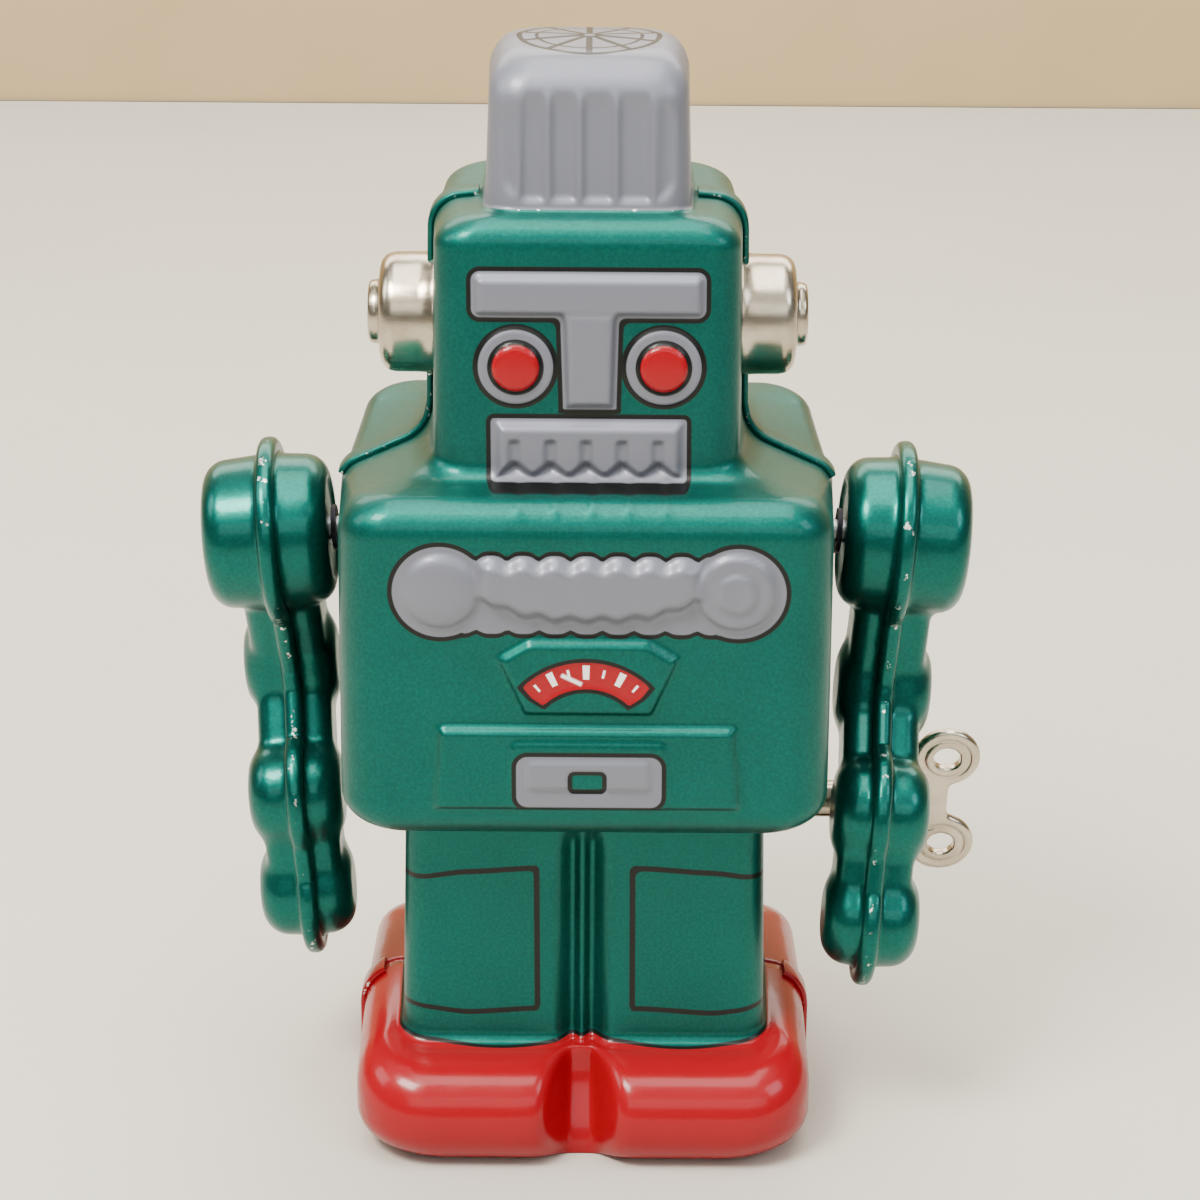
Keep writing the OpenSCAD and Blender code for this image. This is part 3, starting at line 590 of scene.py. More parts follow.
def arm_half_field(u, v, w, drum, limb, lobe):
    """One pressed half of an arm: drum, limbs and lobes run into each other and into the flange."""
    taper = 0.09 * w
    d_drum = rounded_slab(np.hypot(u, v) - 8.6 + taper, -4, drum, 2.3)(w)
    limbs = np.minimum.reduce(outside_limbs(u, v)) + taper
    d_limb = rounded_slab(limbs, -4, limb, 1.7)(w)
    body = blend_soft(d_limb, d_drum, 1.0)
    for at, r, rounding in ((ELBOW, 5.9, 2.6), (CUFF, 5.9, 2.7), (CLAW, 5.6, 2.7)):
        lump = rounded_slab(np.hypot(u - at[0], v - at[1]) - r + taper, -4, lobe, rounding)(w)
        body = blend_soft(body, lump, 0.9)
    # shallow dish pressed into the drum's end
    body = np.maximum(body, -rounded_slab(np.hypot(u, v) - 5.3, drum - 0.28, drum + 3, 0.2)(w))
    outline = np.minimum(np.hypot(u, v) - DRUM_R, limbs - taper)
    for at, r in LOBES:
        outline = np.minimum(outline, np.hypot(u - at[0], v - at[1]) - r)
    flange = rounded_slab(outline - 2.0, -4, 0.72, 0.5)(w)
    return blend_soft(body, flange, 0.9), outline


def arm_half(side, outer, material):
    low = np.array([-1.9 if outer else -0.7, -21.5, -49.0])
    drum, limb, lobe = (7.4, 4.5, 5.7) if outer else (6.2, 3.9, 4.7)
    size = np.array([drum + 0.9 - low[0], 34.0, 61.0])
    count = np.ceil(size / ARM_STEP).astype(int)
    w, u, v = np.meshgrid(*[low[i] + ARM_STEP * np.arange(count[i]) for i in range(3)], indexing="ij")
    field, outline = arm_half_field(u, v, w, drum, limb, lobe)
    field = np.maximum(field, -w + 0.02)
    if outer:
        # the outer half's edge is folded right over the inner one's into a single rounded roll
        fold = rounded_slab(np.abs(outline - 1.1) - 1.05, -1.0, 1.05, 0.85)(w)
        field = blend_soft(field, fold, 0.3)
    points, faces = mesh_over(field, low, ARM_STEP)
    pu, pv = points[:, 1], points[:, 2]
    lobes = [np.hypot(pu - at[0], pv - at[1]) - r for at, r in LOBES]
    rim = np.abs(np.minimum.reduce([np.hypot(pu, pv) - DRUM_R, *outside_limbs(pu, pv), *lobes]) - 2.2)
    wear = np.exp(-(rim / 0.45) ** 2)
    out = 1 if outer else -1
    x = side * out * points[:, 0]
    lean = side * LEAN
    back = LEFT_ARM_BACK if side < 0 else 0.0
    y = pu * math.cos(back) - pv * math.sin(back)
    z = pu * math.sin(back) + pv * math.cos(back)
    turned = np.stack([x * math.cos(lean) + z * math.sin(lean) + side * SHOULDER[0], y,
                       -x * math.sin(lean) + z * math.cos(lean) + SHOULDER[1]], axis=1)
    if side * out < 0:
        faces = [f[::-1] for f in faces]
    body = "right_arm" if side > 0 else "left_arm"
    node = "arm_%s_%s" % ("right" if side > 0 else "left", "outer" if outer else "inner")
    mesh = mesh_of(node + "_pressed", turned * MM, faces)
    set_field(mesh, "wear", wear)
    return link_piece(node + "_pressed", mesh, [material], body, [node])


def winding_key(material):
    """Rolled tube with its seam left open, and a thick stamped bow with two eyes."""
    step = 0.2
    low = np.array([20.6, -10.8, -2.9])
    count = np.ceil(np.array([25.0, 21.6, 5.8]) / step).astype(int)
    x, a, b = np.meshgrid(*[low[i] + step * np.arange(count[i]) for i in range(3)], indexing="ij")
    across = np.hypot(a, b)
    tube = rounded_slab(across - 2.1, 21.05, 36.3, 0.25)(x)
    loop_x, loop_a = 41, 6.15
    loops = np.minimum(np.hypot(x - loop_x, a - loop_a), np.hypot(x - loop_x, a + loop_a)) - 3.8
    neck = np.maximum(np.abs(x - 37.8) - 3.4, np.abs(a) - 2.3 + 0.12 * (x - 35))
    waist = np.maximum(np.abs(x - 39.4) - 1.45, np.abs(a) - 6.1)
    flat = blend_soft(blend_soft(neck, waist, 1.6), loops, 1.2)
    bow = rounded_slab(flat, -0.62, 0.62, 0.5)(b)
    key = blend_soft(tube, bow, 0.9)
    for s in (-1, 1):
        eye = np.hypot(x - loop_x, a - s * loop_a)
        key = np.maximum(key, 1.55 - eye)
        # the bow is dished a little round each eye
        key = np.maximum(key, 0.16 - np.hypot(eye - 2.6, np.abs(b) - 0.72) + 0.1)
    slit = np.maximum(np.abs(a + 0.9) - 0.17, 0.8 - b)
    key = np.maximum(key, -np.maximum(slit, x - 35.4))
    key = np.maximum(key, 1.3 - np.where(x < 27.5, across, 9))
    points, faces = mesh_over(key, low, step)
    turn = math.radians(15)
    axis_y, axis_z = middle_of("spring_arbor", 1), middle_of("spring_arbor", 2)
    # the bow's own axes: a runs from one eye to the other and b is its thickness
    y = axis_y - points[:, 1] * math.sin(turn) - points[:, 2] * math.cos(turn)
    z = axis_z + points[:, 1] * math.cos(turn) - points[:, 2] * math.sin(turn)
    placed = np.stack([points[:, 0], y, z], axis=1)
    mesh = mesh_of("winding_key_plated", placed * MM, faces)
    return link_piece("winding_key_plated", mesh, [material], "winder", ["winding_key"])


# ---------- ears ----------

EAR_LINE = [(0.0, 0.0), (6.75, 0.0), (6.8, 0.35), (6.5, 0.7), (6.42, 2.0), (6.4, 4.4), (6.3, 5.0),
            (6.0, 5.55), (5.5, 5.95), (4.9, 6.12), (3.75, 6.15), (3.5, 6.3), (3.42, 6.6), (3.38, 7.0),
            (3.2, 7.28), (2.8, 7.4), (1.2, 7.42), (0.0, 7.42)]


def ear(name, side, node, material):
    """Drawn cup, turned round its axis: a rolled foot, a soft shoulder and a low boss."""
    centre_z = middle_of(node, 2)
    base_x = 16.0
    points, faces = [], []
    around = 96
    line = np.array(EAR_LINE)
    for r, out in line:
        if r == 0:
            points.append((side * (base_x + out), 0, centre_z))
        else:
            for k in range(around):
                a = 2 * math.pi * k / around
                points.append((side * (base_x + out), r * math.cos(a), centre_z + r * math.sin(a)))
    start = [0]
    for r, out in line:
        start.append(start[-1] + (1 if r == 0 else around))
    for i in range(len(line) - 1):
        for k in range(around):
            n = (k + 1) % around
            if line[i][0] == 0:
                faces.append((start[i], start[i + 1] + k, start[i + 1] + n))
            elif line[i + 1][0] == 0:
                faces.append((start[i] + n, start[i] + k, start[i + 1]))
            else:
                faces.append((start[i] + n, start[i] + k, start[i + 1] + k, start[i + 1] + n))
    mesh = mesh_of(name, np.array(points) * MM, faces)
    turn_outwards(mesh)
    return link_piece(name, mesh, [material], CASE, [node])


def turn_outwards(mesh):
    work = bmesh.new()
    work.from_mesh(mesh)
    bmesh.ops.remove_doubles(work, verts=work.verts, dist=1e-7)
    bmesh.ops.recalc_face_normals(work, faces=work.faces)
    work.to_mesh(mesh)
    work.free()


# ---------- Geometry Nodes: strips that follow a path ----------

def strip_tree(name, material):
    """A strip of rounded section swept along the edges that come in; they lie in the X-Y plane."""
    tree = bpy.data.node_groups.new(name, "GeometryNodeTree")
    face = tree.interface
    face.new_socket("Geometry", in_out="INPUT", socket_type="NodeSocketGeometry")
    for label in ("Strip thickness", "Strip width", "Edge rounding", "Step"):
        face.new_socket(label, in_out="INPUT", socket_type="NodeSocketFloat")
    face.new_socket("Geometry", in_out="OUTPUT", socket_type="NodeSocketGeometry")
    given = add_node(tree, "NodeGroupInput").outputs
    path = add_node(tree, "GeometryNodeMeshToCurve", {"Mesh": given["Geometry"]})
    even = add_node(tree, "GeometryNodeResampleCurve", {"Curve": path.outputs[0]}, mode="LENGTH")
    tree.links.new(given["Step"], even.inputs["Length"])
    upright = add_node(tree, "GeometryNodeSetCurveNormal", {"Curve": even.outputs[0]}, mode="Z_UP")
    section = add_node(tree, "GeometryNodeCurvePrimitiveQuadrilateral",
                       {"Width": given["Strip thickness"], "Height": given["Strip width"]})
    soft = add_node(tree, "GeometryNodeFilletCurve",
                    {"Curve": section.outputs[0], "Radius": given["Edge rounding"], "Count": 3}, mode="POLY")
    strip = add_node(tree, "GeometryNodeCurveToMesh",
                     {"Curve": upright.outputs[0], "Profile Curve": soft.outputs[0], "Fill Caps": True})
    real = add_node(tree, "GeometryNodeRealizeInstances", {"Geometry": strip.outputs[0]})
    done = add_node(tree, "GeometryNodeSetMaterial", {"Geometry": real.outputs[0], "Material": material})
    add_node(tree, "NodeGroupOutput", {"Geometry": done.outputs[0]})
    return tree


def swept_strip(tree, path, sizes):
    """Runs the tree on a path given in mm and returns the plain mesh, still lying in X-Y."""
    holder_mesh = bpy.data.meshes.new("path")
    holder_mesh.from_pydata([(p[0] * MM, p[1] * MM, 0) for p in path],
                            [(i, i + 1) for i in range(len(path) - 1)], [])
    holder = bpy.data.objects.new("path", holder_mesh)
    bpy.context.collection.objects.link(holder)
    modifier = holder.modifiers.new("strip", "NODES")
    modifier.node_group = tree
    for item in tree.interface.items_tree:
        if item.in_out == "INPUT" and item.name in sizes:
            modifier[item.identifier] = sizes[item.name]
    made = bpy.data.meshes.new_from_object(holder.evaluated_get(bpy.context.evaluated_depsgraph_get()))
    holder.modifiers.remove(modifier)
    bpy.data.objects.remove(holder)
    bpy.data.meshes.remove(holder_mesh)
    return made


LIP_THICKNESS, LIP_WIDTH, LIP_ROUNDING = 0.76, 3.2, 0.32
# how far the lip's middle lies in front of the seam, where its worn edge is, and how far it stands proud
LIP_BACK, LIP_EDGE, LIP_PROUD = 0.7, 2.3, 0.22


def lip_paths(side):
    """The stretches of the seam, in the front plane, where the back half laps over the front."""
    x, z = side[:, 0], side[:, 1]
    shoe = (z > 1.2) & (z < 12.9) & (x > 20.9)
    shoulder = (x < 27.6) & (x > 16.8) & (z > 72.4) & (z < 84)
    head = (z >= 80.5) & (z < 103.6) & (x > 11.4)
    runs = [side[shoe], side[shoulder | head]]
    for run in runs:
        for s in (-1, 1):
            yield np.stack([s * run[:, 0], run[:, 1]], axis=1)


def seam_lips(side, material):
    tree = strip_tree("seam lip", material)
    count = 0
    for path in lip_paths(side):
        # the lip stands just outside the front sheet
        tangent = np.gradient(path, axis=0)
        normal = np.stack([tangent[:, 1], -tangent[:, 0]], axis=1)
        normal /= np.linalg.norm(normal, axis=1, keepdims=True)
        outward = 1 if path[0][0] > 0 else -1
        path = path + normal * outward * LIP_PROUD
        mesh = swept_strip(tree, path, {"Strip thickness": LIP_THICKNESS * MM, "Strip width": LIP_WIDTH * MM,
                                        "Edge rounding": LIP_ROUNDING * MM, "Step": 0.45 * MM})
        flat = points_of(mesh)
        stand_up(mesh, flat[:, 0], flat[:, 2] - LIP_BACK * MM, flat[:, 1])
        turn_outwards(mesh)
        co = points_of(mesh) / MM
        set_field(mesh, "wear", np.exp(-((co[:, 1] + LIP_EDGE) / 0.3) ** 2))
        set_field(mesh, "shoe", np.where(co[:, 2] < 20, -NO_PRINT, NO_PRINT))
        for label in ("silver", "hat", "panel", "dial", "dial_along", "dial_out"):
            set_field(mesh, label, np.full(len(co), NO_PRINT))
        set_field(mesh, "eye", np.full(len(co), -NO_PRINT))
        mesh.materials.clear()
        count += 1
        link_piece("seam_lip_%d" % count, mesh, [material], CASE)


SPRING_TURNS, TURN_STEPS, EYE_LOOP_R = 6, 40, 1.28


def mainspring(material):
    """Open spiral of blued strip, from the arbor out to its loop on the pillar."""
    key_y, key_z = middle_of("spring_arbor", 1), middle_of("spring_arbor", 2)
    post = (middle_of("spring_pillar", 1) - key_y, middle_of("spring_pillar", 2) - key_z)
    spring_low, spring_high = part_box("mainspring")
    at = math.atan2(post[1], post[0])
    path = []
    # t counts turns; over the last half turn the strip swings out to the pillar
    for k in range(SPRING_TURNS * TURN_STEPS + 1):
        t = k / TURN_STEPS
        r = 1.74 + 7.6 * t / SPRING_TURNS + (2.45 * ((t - 5.5) / 0.5) ** 2 if t > 5.5 else 0)
        a = at + 2 * math.pi * (t - SPRING_TURNS) - math.radians(4)
        path.append((r * math.cos(a), r * math.sin(a)))
    last = path[-1]
    # the eye round the pillar
    for k in range(1, 23):
        a = math.atan2(last[1] - post[1], last[0] - post[0]) + 2 * math.pi * k / 24
        path.append((post[0] + EYE_LOOP_R * math.cos(a), post[1] + EYE_LOOP_R * math.sin(a)))
    tree = strip_tree("mainspring strip", material)
    width = spring_high[0] - spring_low[0]
    mesh = swept_strip(tree, path, {"Strip thickness": 0.28 * MM, "Strip width": width,
                                    "Edge rounding": 0.06 * MM, "Step": 0.3 * MM})
    flat = points_of(mesh)
    mid = (spring_low[0] + spring_high[0]) / 2
    stand_up(mesh, flat[:, 2] + mid, flat[:, 0] + key_y * MM, flat[:, 1] + key_z * MM)
    mesh.materials.clear()
    turn_outwards(mesh)
    link_piece("mainspring_strip", mesh, [material], CASE, ["mainspring"])


# ---------- materials ----------

SILVER = "#71747f"
RED = "#900112"
INK = "#030504"


def new_material(name):
    material = bpy.data.materials.new(name)
    material.use_nodes = True
    tree = material.node_tree
    return material, tree, tree.nodes["Principled BSDF"]


def field_value(tree, name):
    return add_node(tree, "ShaderNodeAttribute", attribute_name=name).outputs["Fac"]


def printed_between(tree, value, low, high, soft=0.05):
    """1 where the field lies between low and high, with an edge as soft as ink on tin."""
    rise = add_node(tree, "ShaderNodeMapRange",
                    {"Value": value, "From Min": low - soft, "From Max": low + soft})
    fall = add_node(tree, "ShaderNodeMapRange",
                    {"Value": value, "From Min": high + soft, "From Max": high - soft})
    return both(tree, rise.outputs[0], fall.outputs[0])


def lay_over(tree, below, mask, above):
    """Mixes a colour or value over what is below it."""
    kind = "RGBA" if not isinstance(above, float) else "FLOAT"
    slots = {"RGBA": (6, 7, 2), "FLOAT": (2, 3, 0)}[kind]
    return add_node(tree, "ShaderNodeMix", {0: mask, slots[0]: below, slots[1]: above},
                    data_type=kind).outputs[slots[2]]


def either(tree, a, b):
    return add_node(tree, "ShaderNodeMath", {0: a, 1: b}, operation="MAXIMUM").outputs[0]


def both(tree, a, b):
    return add_node(tree, "ShaderNodeMath", {0: a, 1: b}, operation="MULTIPLY").outputs[0]


def green_lacquer(tree, place):
    """Colour of the transparent green over bright tin: it clouds softly and its flakes sparkle.

    The clouds are about 10 mm across. The flakes are 0.35 mm, coarser than real ones, so that they show.
    """
    cloud = add_node(tree, "ShaderNodeTexNoise", {"Vector": place, "Scale": 95.0, "Detail": 3.0})
    flake = add_node(tree, "ShaderNodeTexNoise", {"Vector": place, "Scale": 2900.0, "Detail": 1.0})
    clouded = add_node(tree, "ShaderNodeMix", {0: cloud.outputs["Fac"], 6: hex_colour("#014b44"),
                                               7: hex_colour("#035951")}, data_type="RGBA").outputs[2]
    spark = add_node(tree, "ShaderNodeMapRange", {"Value": flake.outputs["Fac"], "From Min": 0.35,
                                                  "From Max": 0.75, "To Min": 0.0, "To Max": 0.12})
    return lay_over(tree, clouded, spark.outputs[0], hex_colour("#1b9683"))


def worn(tree, place, wear, scale, low):
    """Chips about a millimetre across, along the edges where the lacquer has flaked off."""
    chip = add_node(tree, "ShaderNodeTexNoise",
                    {"Vector": place, "Scale": scale, "Detail": 4.0, "Roughness": 0.65})
    rubbed = add_node(tree, "ShaderNodeMath", {0: chip.outputs["Fac"], 1: wear}, operation="MULTIPLY")
    return add_node(tree, "ShaderNodeMapRange", {"Value": rubbed.outputs[0], "From Min": low,
                                                 "From Max": low + 0.03}).outputs[0]


def finish_tin(tree, shader, place, metallic, roughness):
    """Sheet-metal waviness, fine orange peel, hairline scratches, and the gloss of the varnish.

    The waves are about 8 mm long, the orange peel 0.8 mm, and the scratches are wider than real ones.
    """
    wave = add_node(tree, "ShaderNodeTexNoise", {"Vector": place, "Scale": 130.0, "Detail": 2.0})
    peel = add_node(tree, "ShaderNodeTexNoise", {"Vector": place, "Scale": 1300.0, "Detail": 2.0})
    wavy = add_node(tree, "ShaderNodeBump",
                    {"Height": wave.outputs["Fac"], "Distance": 0.22 * MM, "Strength": 0.55})
    peeled = add_node(tree, "ShaderNodeBump", {"Height": peel.outputs["Fac"], "Distance": 0.03 * MM,
                                               "Strength": 0.35, "Normal": wavy.outputs[0]})
    scratch_turn = add_node(tree, "ShaderNodeMapping", {"Vector": place, "Rotation": (0.4, 0.9, 0.3),
                                                        "Scale": (300.0, 300.0, 60.0)})
    scratch = add_node(tree, "ShaderNodeTexNoise",
                       {"Vector": scratch_turn.outputs[0], "Scale": 4.0, "Detail": 3.0})
    rub = add_node(tree, "ShaderNodeMapRange", {"Value": scratch.outputs["Fac"], "From Min": 0.35,
                                                "From Max": 0.8, "To Min": 0.0, "To Max": 0.05})
    rough = add_node(tree, "ShaderNodeMath", {0: roughness, 1: rub.outputs[0]}, operation="ADD")
    tree.links.new(rough.outputs[0], shader.inputs["Roughness"])
    tree.links.new(metallic, shader.inputs["Metallic"])
    tree.links.new(peeled.outputs[0], shader.inputs["Normal"])
    shader.inputs["Specular IOR Level"].default_value = 0.22
    shader.inputs["Coat Weight"].default_value = 0.16
    shader.inputs["Coat Roughness"].default_value = 0.06


def printed_tin():
    """Offset-printed tinplate: the green glows from the tin under it, while the inks hide the metal."""
    material, tree, shader = new_material("printed tinplate, varnished")
    place = add_node(tree, "ShaderNodeTexCoord").outputs["Object"]
    green = green_lacquer(tree, place)
    silver, eye, dial = field_value(tree, "silver"), field_value(tree, "eye"), field_value(tree, "dial")
    shoe, hat, panel = field_value(tree, "shoe"), field_value(tree, "hat"), field_value(tree, "panel")
    along, out = field_value(tree, "dial_along"), field_value(tree, "dial_out")
    ink = either(tree, printed_between(tree, silver, -0.5, 8), printed_between(tree, eye, -1, 4.42))
    ink = either(tree, ink, printed_between(tree, panel, -0.32, 0.32))
    ink = either(tree, ink, printed_between(tree, dial, -0.46, 8))
    ink = either(tree, ink, printed_between(tree, shoe, -0.26, 0.24))
    grey = either(tree, printed_between(tree, silver, 0, 10), printed_between(tree, eye, 2.92, 3.86))
    grey = either(tree, grey, printed_between(tree, hat, 0, 20))
    red = either(tree, printed_between(tree, eye, -1, 2.42), printed_between(tree, dial, 0, 10))
    red = either(tree, red, printed_between(tree, shoe, 0.22, 20))
    # white scale marks: a wide one at every other step along the arc, and a leaning pointer
    step = add_node(tree, "ShaderNodeMath", {0: along, 1: 1.75}, operation="DIVIDE").outputs[0]
    near = add_node(tree, "ShaderNodeMath", {0: step}, operation="ROUND").outputs[0]
    off = add_node(tree, "ShaderNodeMath", {0: step, 1: near}, operation="SUBTRACT").outputs[0]
    odd = add_node(tree, "ShaderNodeMath", {0: near, 1: 1.0}, operation="PINGPONG").outputs[0]
    half = add_node(tree, "ShaderNodeMapRange", {"Value": odd, "To Min": 0.185, "To Max": 0.07}).outputs[0]
    tall = add_node(tree, "ShaderNodeMapRange", {"Value": odd, "To Min": 0.78, "To Max": 0.45}).outputs[0]
    away = add_node(tree, "ShaderNodeMath", {0: off}, operation="ABSOLUTE").outputs[0]
    high = add_node(tree, "ShaderNodeMath", {0: out, 1: -0.35}, operation="ADD").outputs[0]
    high = add_node(tree, "ShaderNodeMath", {0: high}, operation="ABSOLUTE").outputs[0]
    thin = add_node(tree, "ShaderNodeMath", {0: away, 1: half}, operation="LESS_THAN").outputs[0]
    short = add_node(tree, "ShaderNodeMath", {0: high, 1: tall}, operation="LESS_THAN").outputs[0]
    white = both(tree, thin, short)
    run = add_node(tree, "ShaderNodeVectorMath", {0: place, 1: (0.9, 0.0, -0.43)},
                   operation="DOT_PRODUCT").outputs["Value"]
    cross = add_node(tree, "ShaderNodeVectorMath", {0: place, 1: (0.43, 0.0, 0.9)},
                     operation="DOT_PRODUCT").outputs["Value"]
    pointer = both(tree, printed_between(tree, run, -27.26 * MM, -24.96 * MM, 0.1 * MM),
                   printed_between(tree, cross, 51.26 * MM, 51.66 * MM, 0.1 * MM))
    white = either(tree, white, pointer)
    white = both(tree, white, printed_between(tree, dial, 0.1, 10))
    net = crown_net(tree, place)
    ink_late = both(tree, net, printed_between(tree, hat, 8.5, 20))
    colour = lay_over(tree, green, ink, hex_colour(INK))
    colour = lay_over(tree, colour, grey, hex_colour(SILVER))
    colour = lay_over(tree, colour, red, hex_colour(RED))
    colour = lay_over(tree, colour, white, hex_colour("#f3efec"))
    colour = lay_over(tree, colour, ink_late, hex_colour(INK))
    chips = worn(tree, place, field_value(tree, "wear"), 900.0, 0.60)
    colour = lay_over(tree, colour, chips, hex_colour("#d9dbd6"))
    tree.links.new(colour, shader.inputs["Base Color"])
    opaque = either(tree, either(tree, ink, red), white)
    metal = add_node(tree, "ShaderNodeMapRange", {"Value": opaque, "To Min": 0.84, "To Max": 0.0}).outputs[0]
    metal = lay_over(tree, metal, grey, 0.35)
    metal = lay_over(tree, metal, red, 0.0)
    metal = lay_over(tree, metal, ink_late, 0.0)
    rough = add_node(tree, "ShaderNodeMapRange", {"Value": red, "To Min": 0.42, "To Max": 0.22}).outputs[0]
    finish_tin(tree, shader, place, metal, rough)
    return material


def crown_net(tree, place):
    """Grille printed on the crown: two rings and ten spokes, drawn round the vertical axis."""
    parts = add_node(tree, "ShaderNodeSeparateXYZ", {"Vector": place}).outputs
    x2, y2 = both(tree, parts["X"], parts["X"]), both(tree, parts["Y"], parts["Y"])
    sum2 = add_node(tree, "ShaderNodeMath", {0: x2, 1: y2}, operation="ADD").outputs[0]
    r = add_node(tree, "ShaderNodeMath", {0: sum2, 1: 0.5}, operation="POWER").outputs[0]
    angle = add_node(tree, "ShaderNodeMath", {0: parts["X"], 1: parts["Y"]}, operation="ARCTAN2").outputs[0]
    wedge = add_node(tree, "ShaderNodeMath", {0: angle, 1: math.radians(18)}, operation="PINGPONG").outputs[0]
    away = both(tree, wedge, r)
    edge = 0.04 * MM
    spokes = both(tree, printed_between(tree, away, -1, 0.34 * MM, edge),
                  printed_between(tree, r, 0.6 * MM, 7.4 * MM, edge))
    rings = either(tree, printed_between(tree, r, 7.0 * MM, 7.6 * MM, edge),
                   printed_between(tree, r, 5.3 * MM, 5.7 * MM, edge))
    return either(tree, spokes, rings)


def plain_green_tin():
    """The arms: the same transparent green over tin, with chips along the crimped flange."""
    material, tree, shader = new_material("green lacquered tinplate")
    place = add_node(tree, "ShaderNodeTexCoord").outputs["Object"]
    green = green_lacquer(tree, place)
    chips = worn(tree, place, field_value(tree, "wear"), 700.0, 0.60)
    colour = lay_over(tree, green, chips, hex_colour("#d4d8d2"))
    tree.links.new(colour, shader.inputs["Base Color"])
    cloud = add_node(tree, "ShaderNodeTexNoise", {"Vector": place, "Scale": 60.0})
    metal = add_node(tree, "ShaderNodeMapRange", {"Value": cloud.outputs["Fac"], "To Min": 0.80,
                                                  "To Max": 0.90}).outputs[0]
    rough = add_node(tree, "ShaderNodeMapRange", {"Value": cloud.outputs["Fac"], "To Min": 0.26,
                                                  "To Max": 0.36}).outputs[0]
    finish_tin(tree, shader, place, metal, rough)
    return material


def metal_finish(name, light, dark, rough, grain, stretch, bump, metallic=1.0):
    """A bare or plated metal: it clouds between two tones, with a grain along one direction."""
    material, tree, shader = new_material(name)
    place = add_node(tree, "ShaderNodeTexCoord").outputs["Object"]
    turned = add_node(tree, "ShaderNodeMapping", {"Vector": place, "Scale": stretch})
    cloud = add_node(tree, "ShaderNodeTexNoise",
                     {"Vector": place, "Scale": 160.0, "Detail": 4.0, "Roughness": 0.6})
    line = add_node(tree, "ShaderNodeTexNoise", {"Vector": turned.outputs[0], "Scale": grain, "Detail": 3.0})
    tone = add_node(tree, "ShaderNodeMapRange",
                    {"Value": cloud.outputs["Fac"], "From Min": 0.35, "From Max": 0.7})
    colour = add_node(tree, "ShaderNodeMix", {0: tone.outputs[0], 6: hex_colour(light), 7: hex_colour(dark)},
                      data_type="RGBA")
    shade = add_node(tree, "ShaderNodeMapRange", {"Value": line.outputs["Fac"], "To Min": rough - 0.07,
                                                  "To Max": rough + 0.12})
    dent = add_node(tree, "ShaderNodeBump",
                    {"Height": line.outputs["Fac"], "Distance": bump, "Strength": 0.5})
    tree.links.new(colour.outputs[2], shader.inputs["Base Color"])
    tree.links.new(shade.outputs[0], shader.inputs["Roughness"])
    tree.links.new(dent.outputs[0], shader.inputs["Normal"])
    shader.inputs["Metallic"].default_value = metallic
    return material


def mottled(name, scale, detail, dark, light, roughness):
    """A matt surface that clouds faintly between two tones."""
    material, tree, shader = new_material(name)
    place = add_node(tree, "ShaderNodeTexCoord").outputs["Object"]
    mottle = add_node(tree, "ShaderNodeTexNoise", {"Vector": place, "Scale": scale, "Detail": detail})
    colour = add_node(tree, "ShaderNodeMix", {0: mottle.outputs["Fac"], 6: hex_colour(dark),
                                              7: hex_colour(light)}, data_type="RGBA")
    tree.links.new(colour.outputs[2], shader.inputs["Base Color"])
    shader.inputs["Roughness"].default_value = roughness
    return material


def set_the_table():
    """A pale laminate table that runs back to a buff wall."""
    laminate = mottled("pale table", 14.0, 5.0, "#c0bcb1", "#c9c5ba", 0.5)
    paint = mottled("buff wall", 30.0, 2.0, "#b79e74", "#bea67c", 0.8)
    for name, corners, material in (
        ("table", [(-3, -3.5, 0), (3, -3.5, 0), (3, 0.545, 0), (-3, 0.545, 0)], laminate),
        ("wall", [(-3, 0.546, 0), (3, 0.546, 0), (3, 0.546, 0.6), (-3, 0.546, 0.6)], paint),
    ):
        obj = bpy.data.objects.new(name, mesh_of(name, corners, [(0, 1, 2, 3)]))
        obj.data.materials.append(material)
        bpy.context.collection.objects.link(obj)


# ---------- the robot ----------

def dress_the_clockwork(finishes):
    """Every carried-over part takes the finish of its own slot."""
    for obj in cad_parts.values():
        for slot in obj.material_slots:
            name = slot.material.name.split(".")[0]
            slot.material = finishes[name]


add_camera()
light_the_table()
set_the_table()

tin = printed_tin()
green_tin = plain_green_tin()
# warm grey plating that mirrors softly, gone dull with handling
nickel = metal_finish("nickel plate, dulled", "#c4bbab", "#a2967f", 0.22, 5.0, (40.0, 300.0, 300.0),
                      0.02 * MM)
# the pale inside of the sheet, with faint rolling lines
bare_tin = metal_finish("bare tinplate", "#c9c6bd", "#a9a69d", 0.36, 6.0, (30.0, 30.0, 260.0), 0.02 * MM)
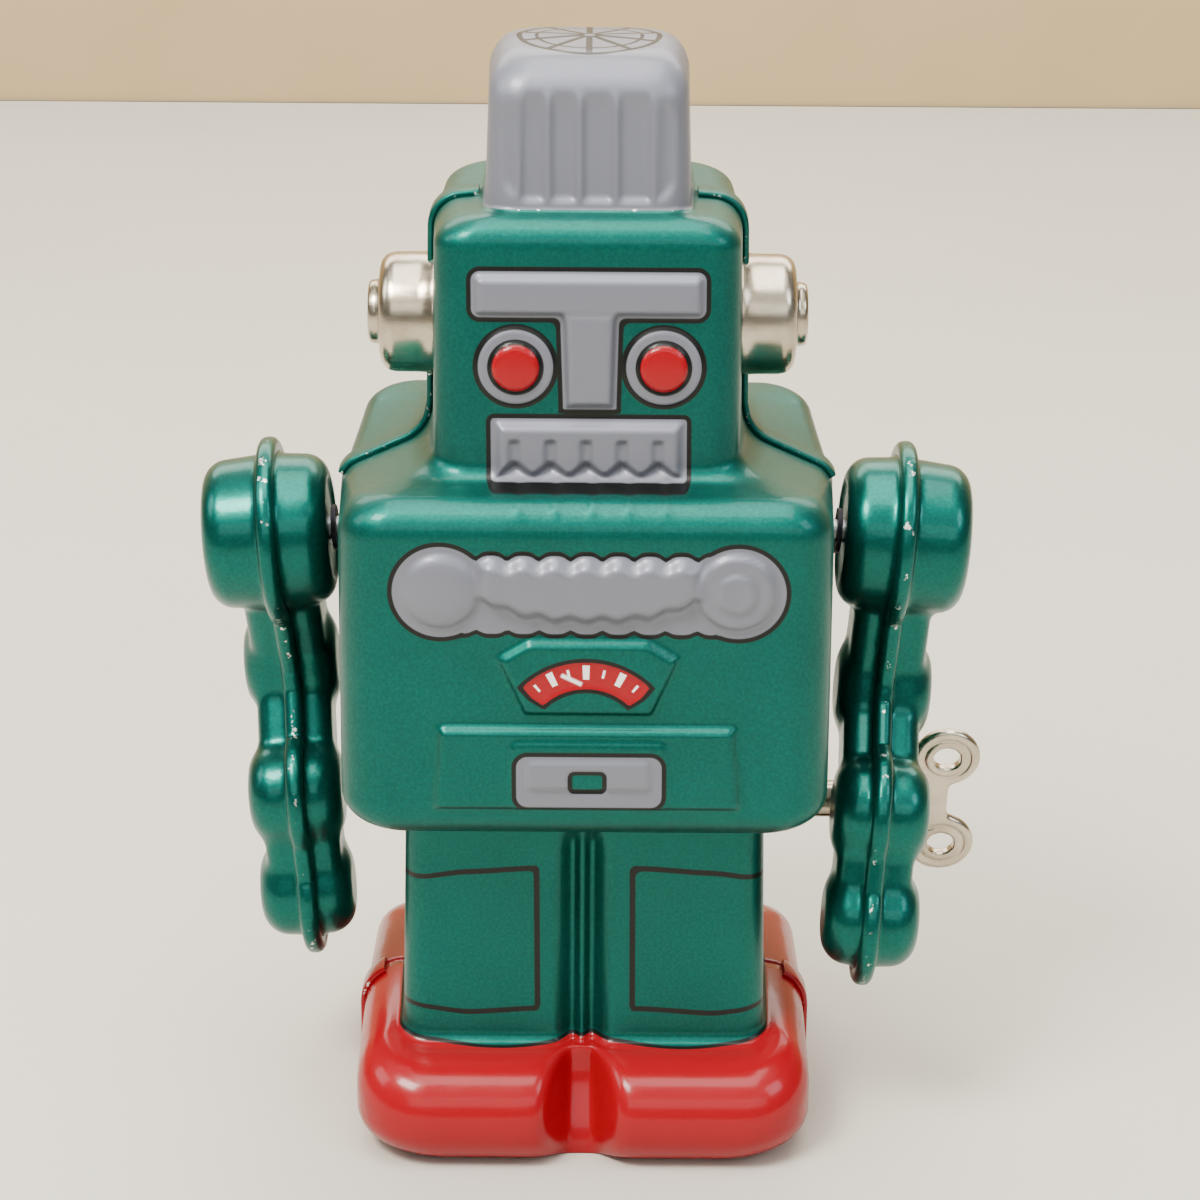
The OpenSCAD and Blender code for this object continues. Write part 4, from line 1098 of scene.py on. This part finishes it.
# grey rolled sheet and turned pins, with fine lines along them
steel = metal_finish("rolled mild steel", "#b9bbbe", "#8d9094", 0.34, 7.0, (30.0, 60.0, 400.0), 0.02 * MM)
# dark blue spring strip with a low sheen
blued = metal_finish("blued spring steel", "#56627a", "#3a4358", 0.30, 8.0, (500.0, 60.0, 60.0), 0.01 * MM)
# nearly black collars that catch only a broad highlight
black_steel = metal_finish("blackened steel", "#35343a", "#222126", 0.46, 6.0, (200.0, 200.0, 200.0),
                           0.02 * MM)
# yellow stamped wheels, brushed across
brass = metal_finish("stamped brass", "#d9b45c", "#b58d3f", 0.28, 7.0, (40.0, 320.0, 320.0), 0.02 * MM)
# matt black pads with no reflection
rubber = metal_finish("black rubber", "#242424", "#161616", 0.74, 6.0, (300.0, 300.0, 300.0), 0.06 * MM, 0.0)
dress_the_clockwork({"tin_green": green_tin, "tin_plain": bare_tin, "nickel": nickel, "steel": steel,
                     "spring_steel": blued, "blackened": black_steel, "brass": brass, "pad": rubber})

# the back is the same pressing with deeper legs, and has no relief, so it needs fewer rows
BACK_CORNERS = [list(c) for c in FRONT_CORNERS]
BACK_CORNERS[SHOE_TOP][FRONT_LINE] = (25.0, 11.4, 4.9)
BACK_CORNERS[ANKLE][FRONT_LINE] = (18.3, 11.3, 1.5)
BACK_CORNERS[LEG_TOP][FRONT_LINE] = (18.3, 38.7, 1.6)
BACK_CORNERS[TORSO_FOOT][ROW_COUNT] = 40
BACK_CORNERS[NECK][ROW_COUNT] = 30

for label, corners, way in (("front_shell", FRONT_CORNERS, -1), ("back_shell", BACK_CORNERS, 1)):
    mesh, index, seam = shell_mesh(label + "_pressed", corners, way, way < 0)
    link_piece(label + "_pressed", mesh, [tin, bare_tin], CASE, [label])
    set_sides(mesh, index)
seam_lips(seam, tin)

for arm_side in (-1, 1):
    for outer_half in (True, False):
        arm_half(arm_side, outer_half, green_tin)
ear("ear_left_cup", -1, "ear_left", nickel)
ear("ear_right_cup", 1, "ear_right", nickel)
winding_key(nickel)
mainspring(blued)
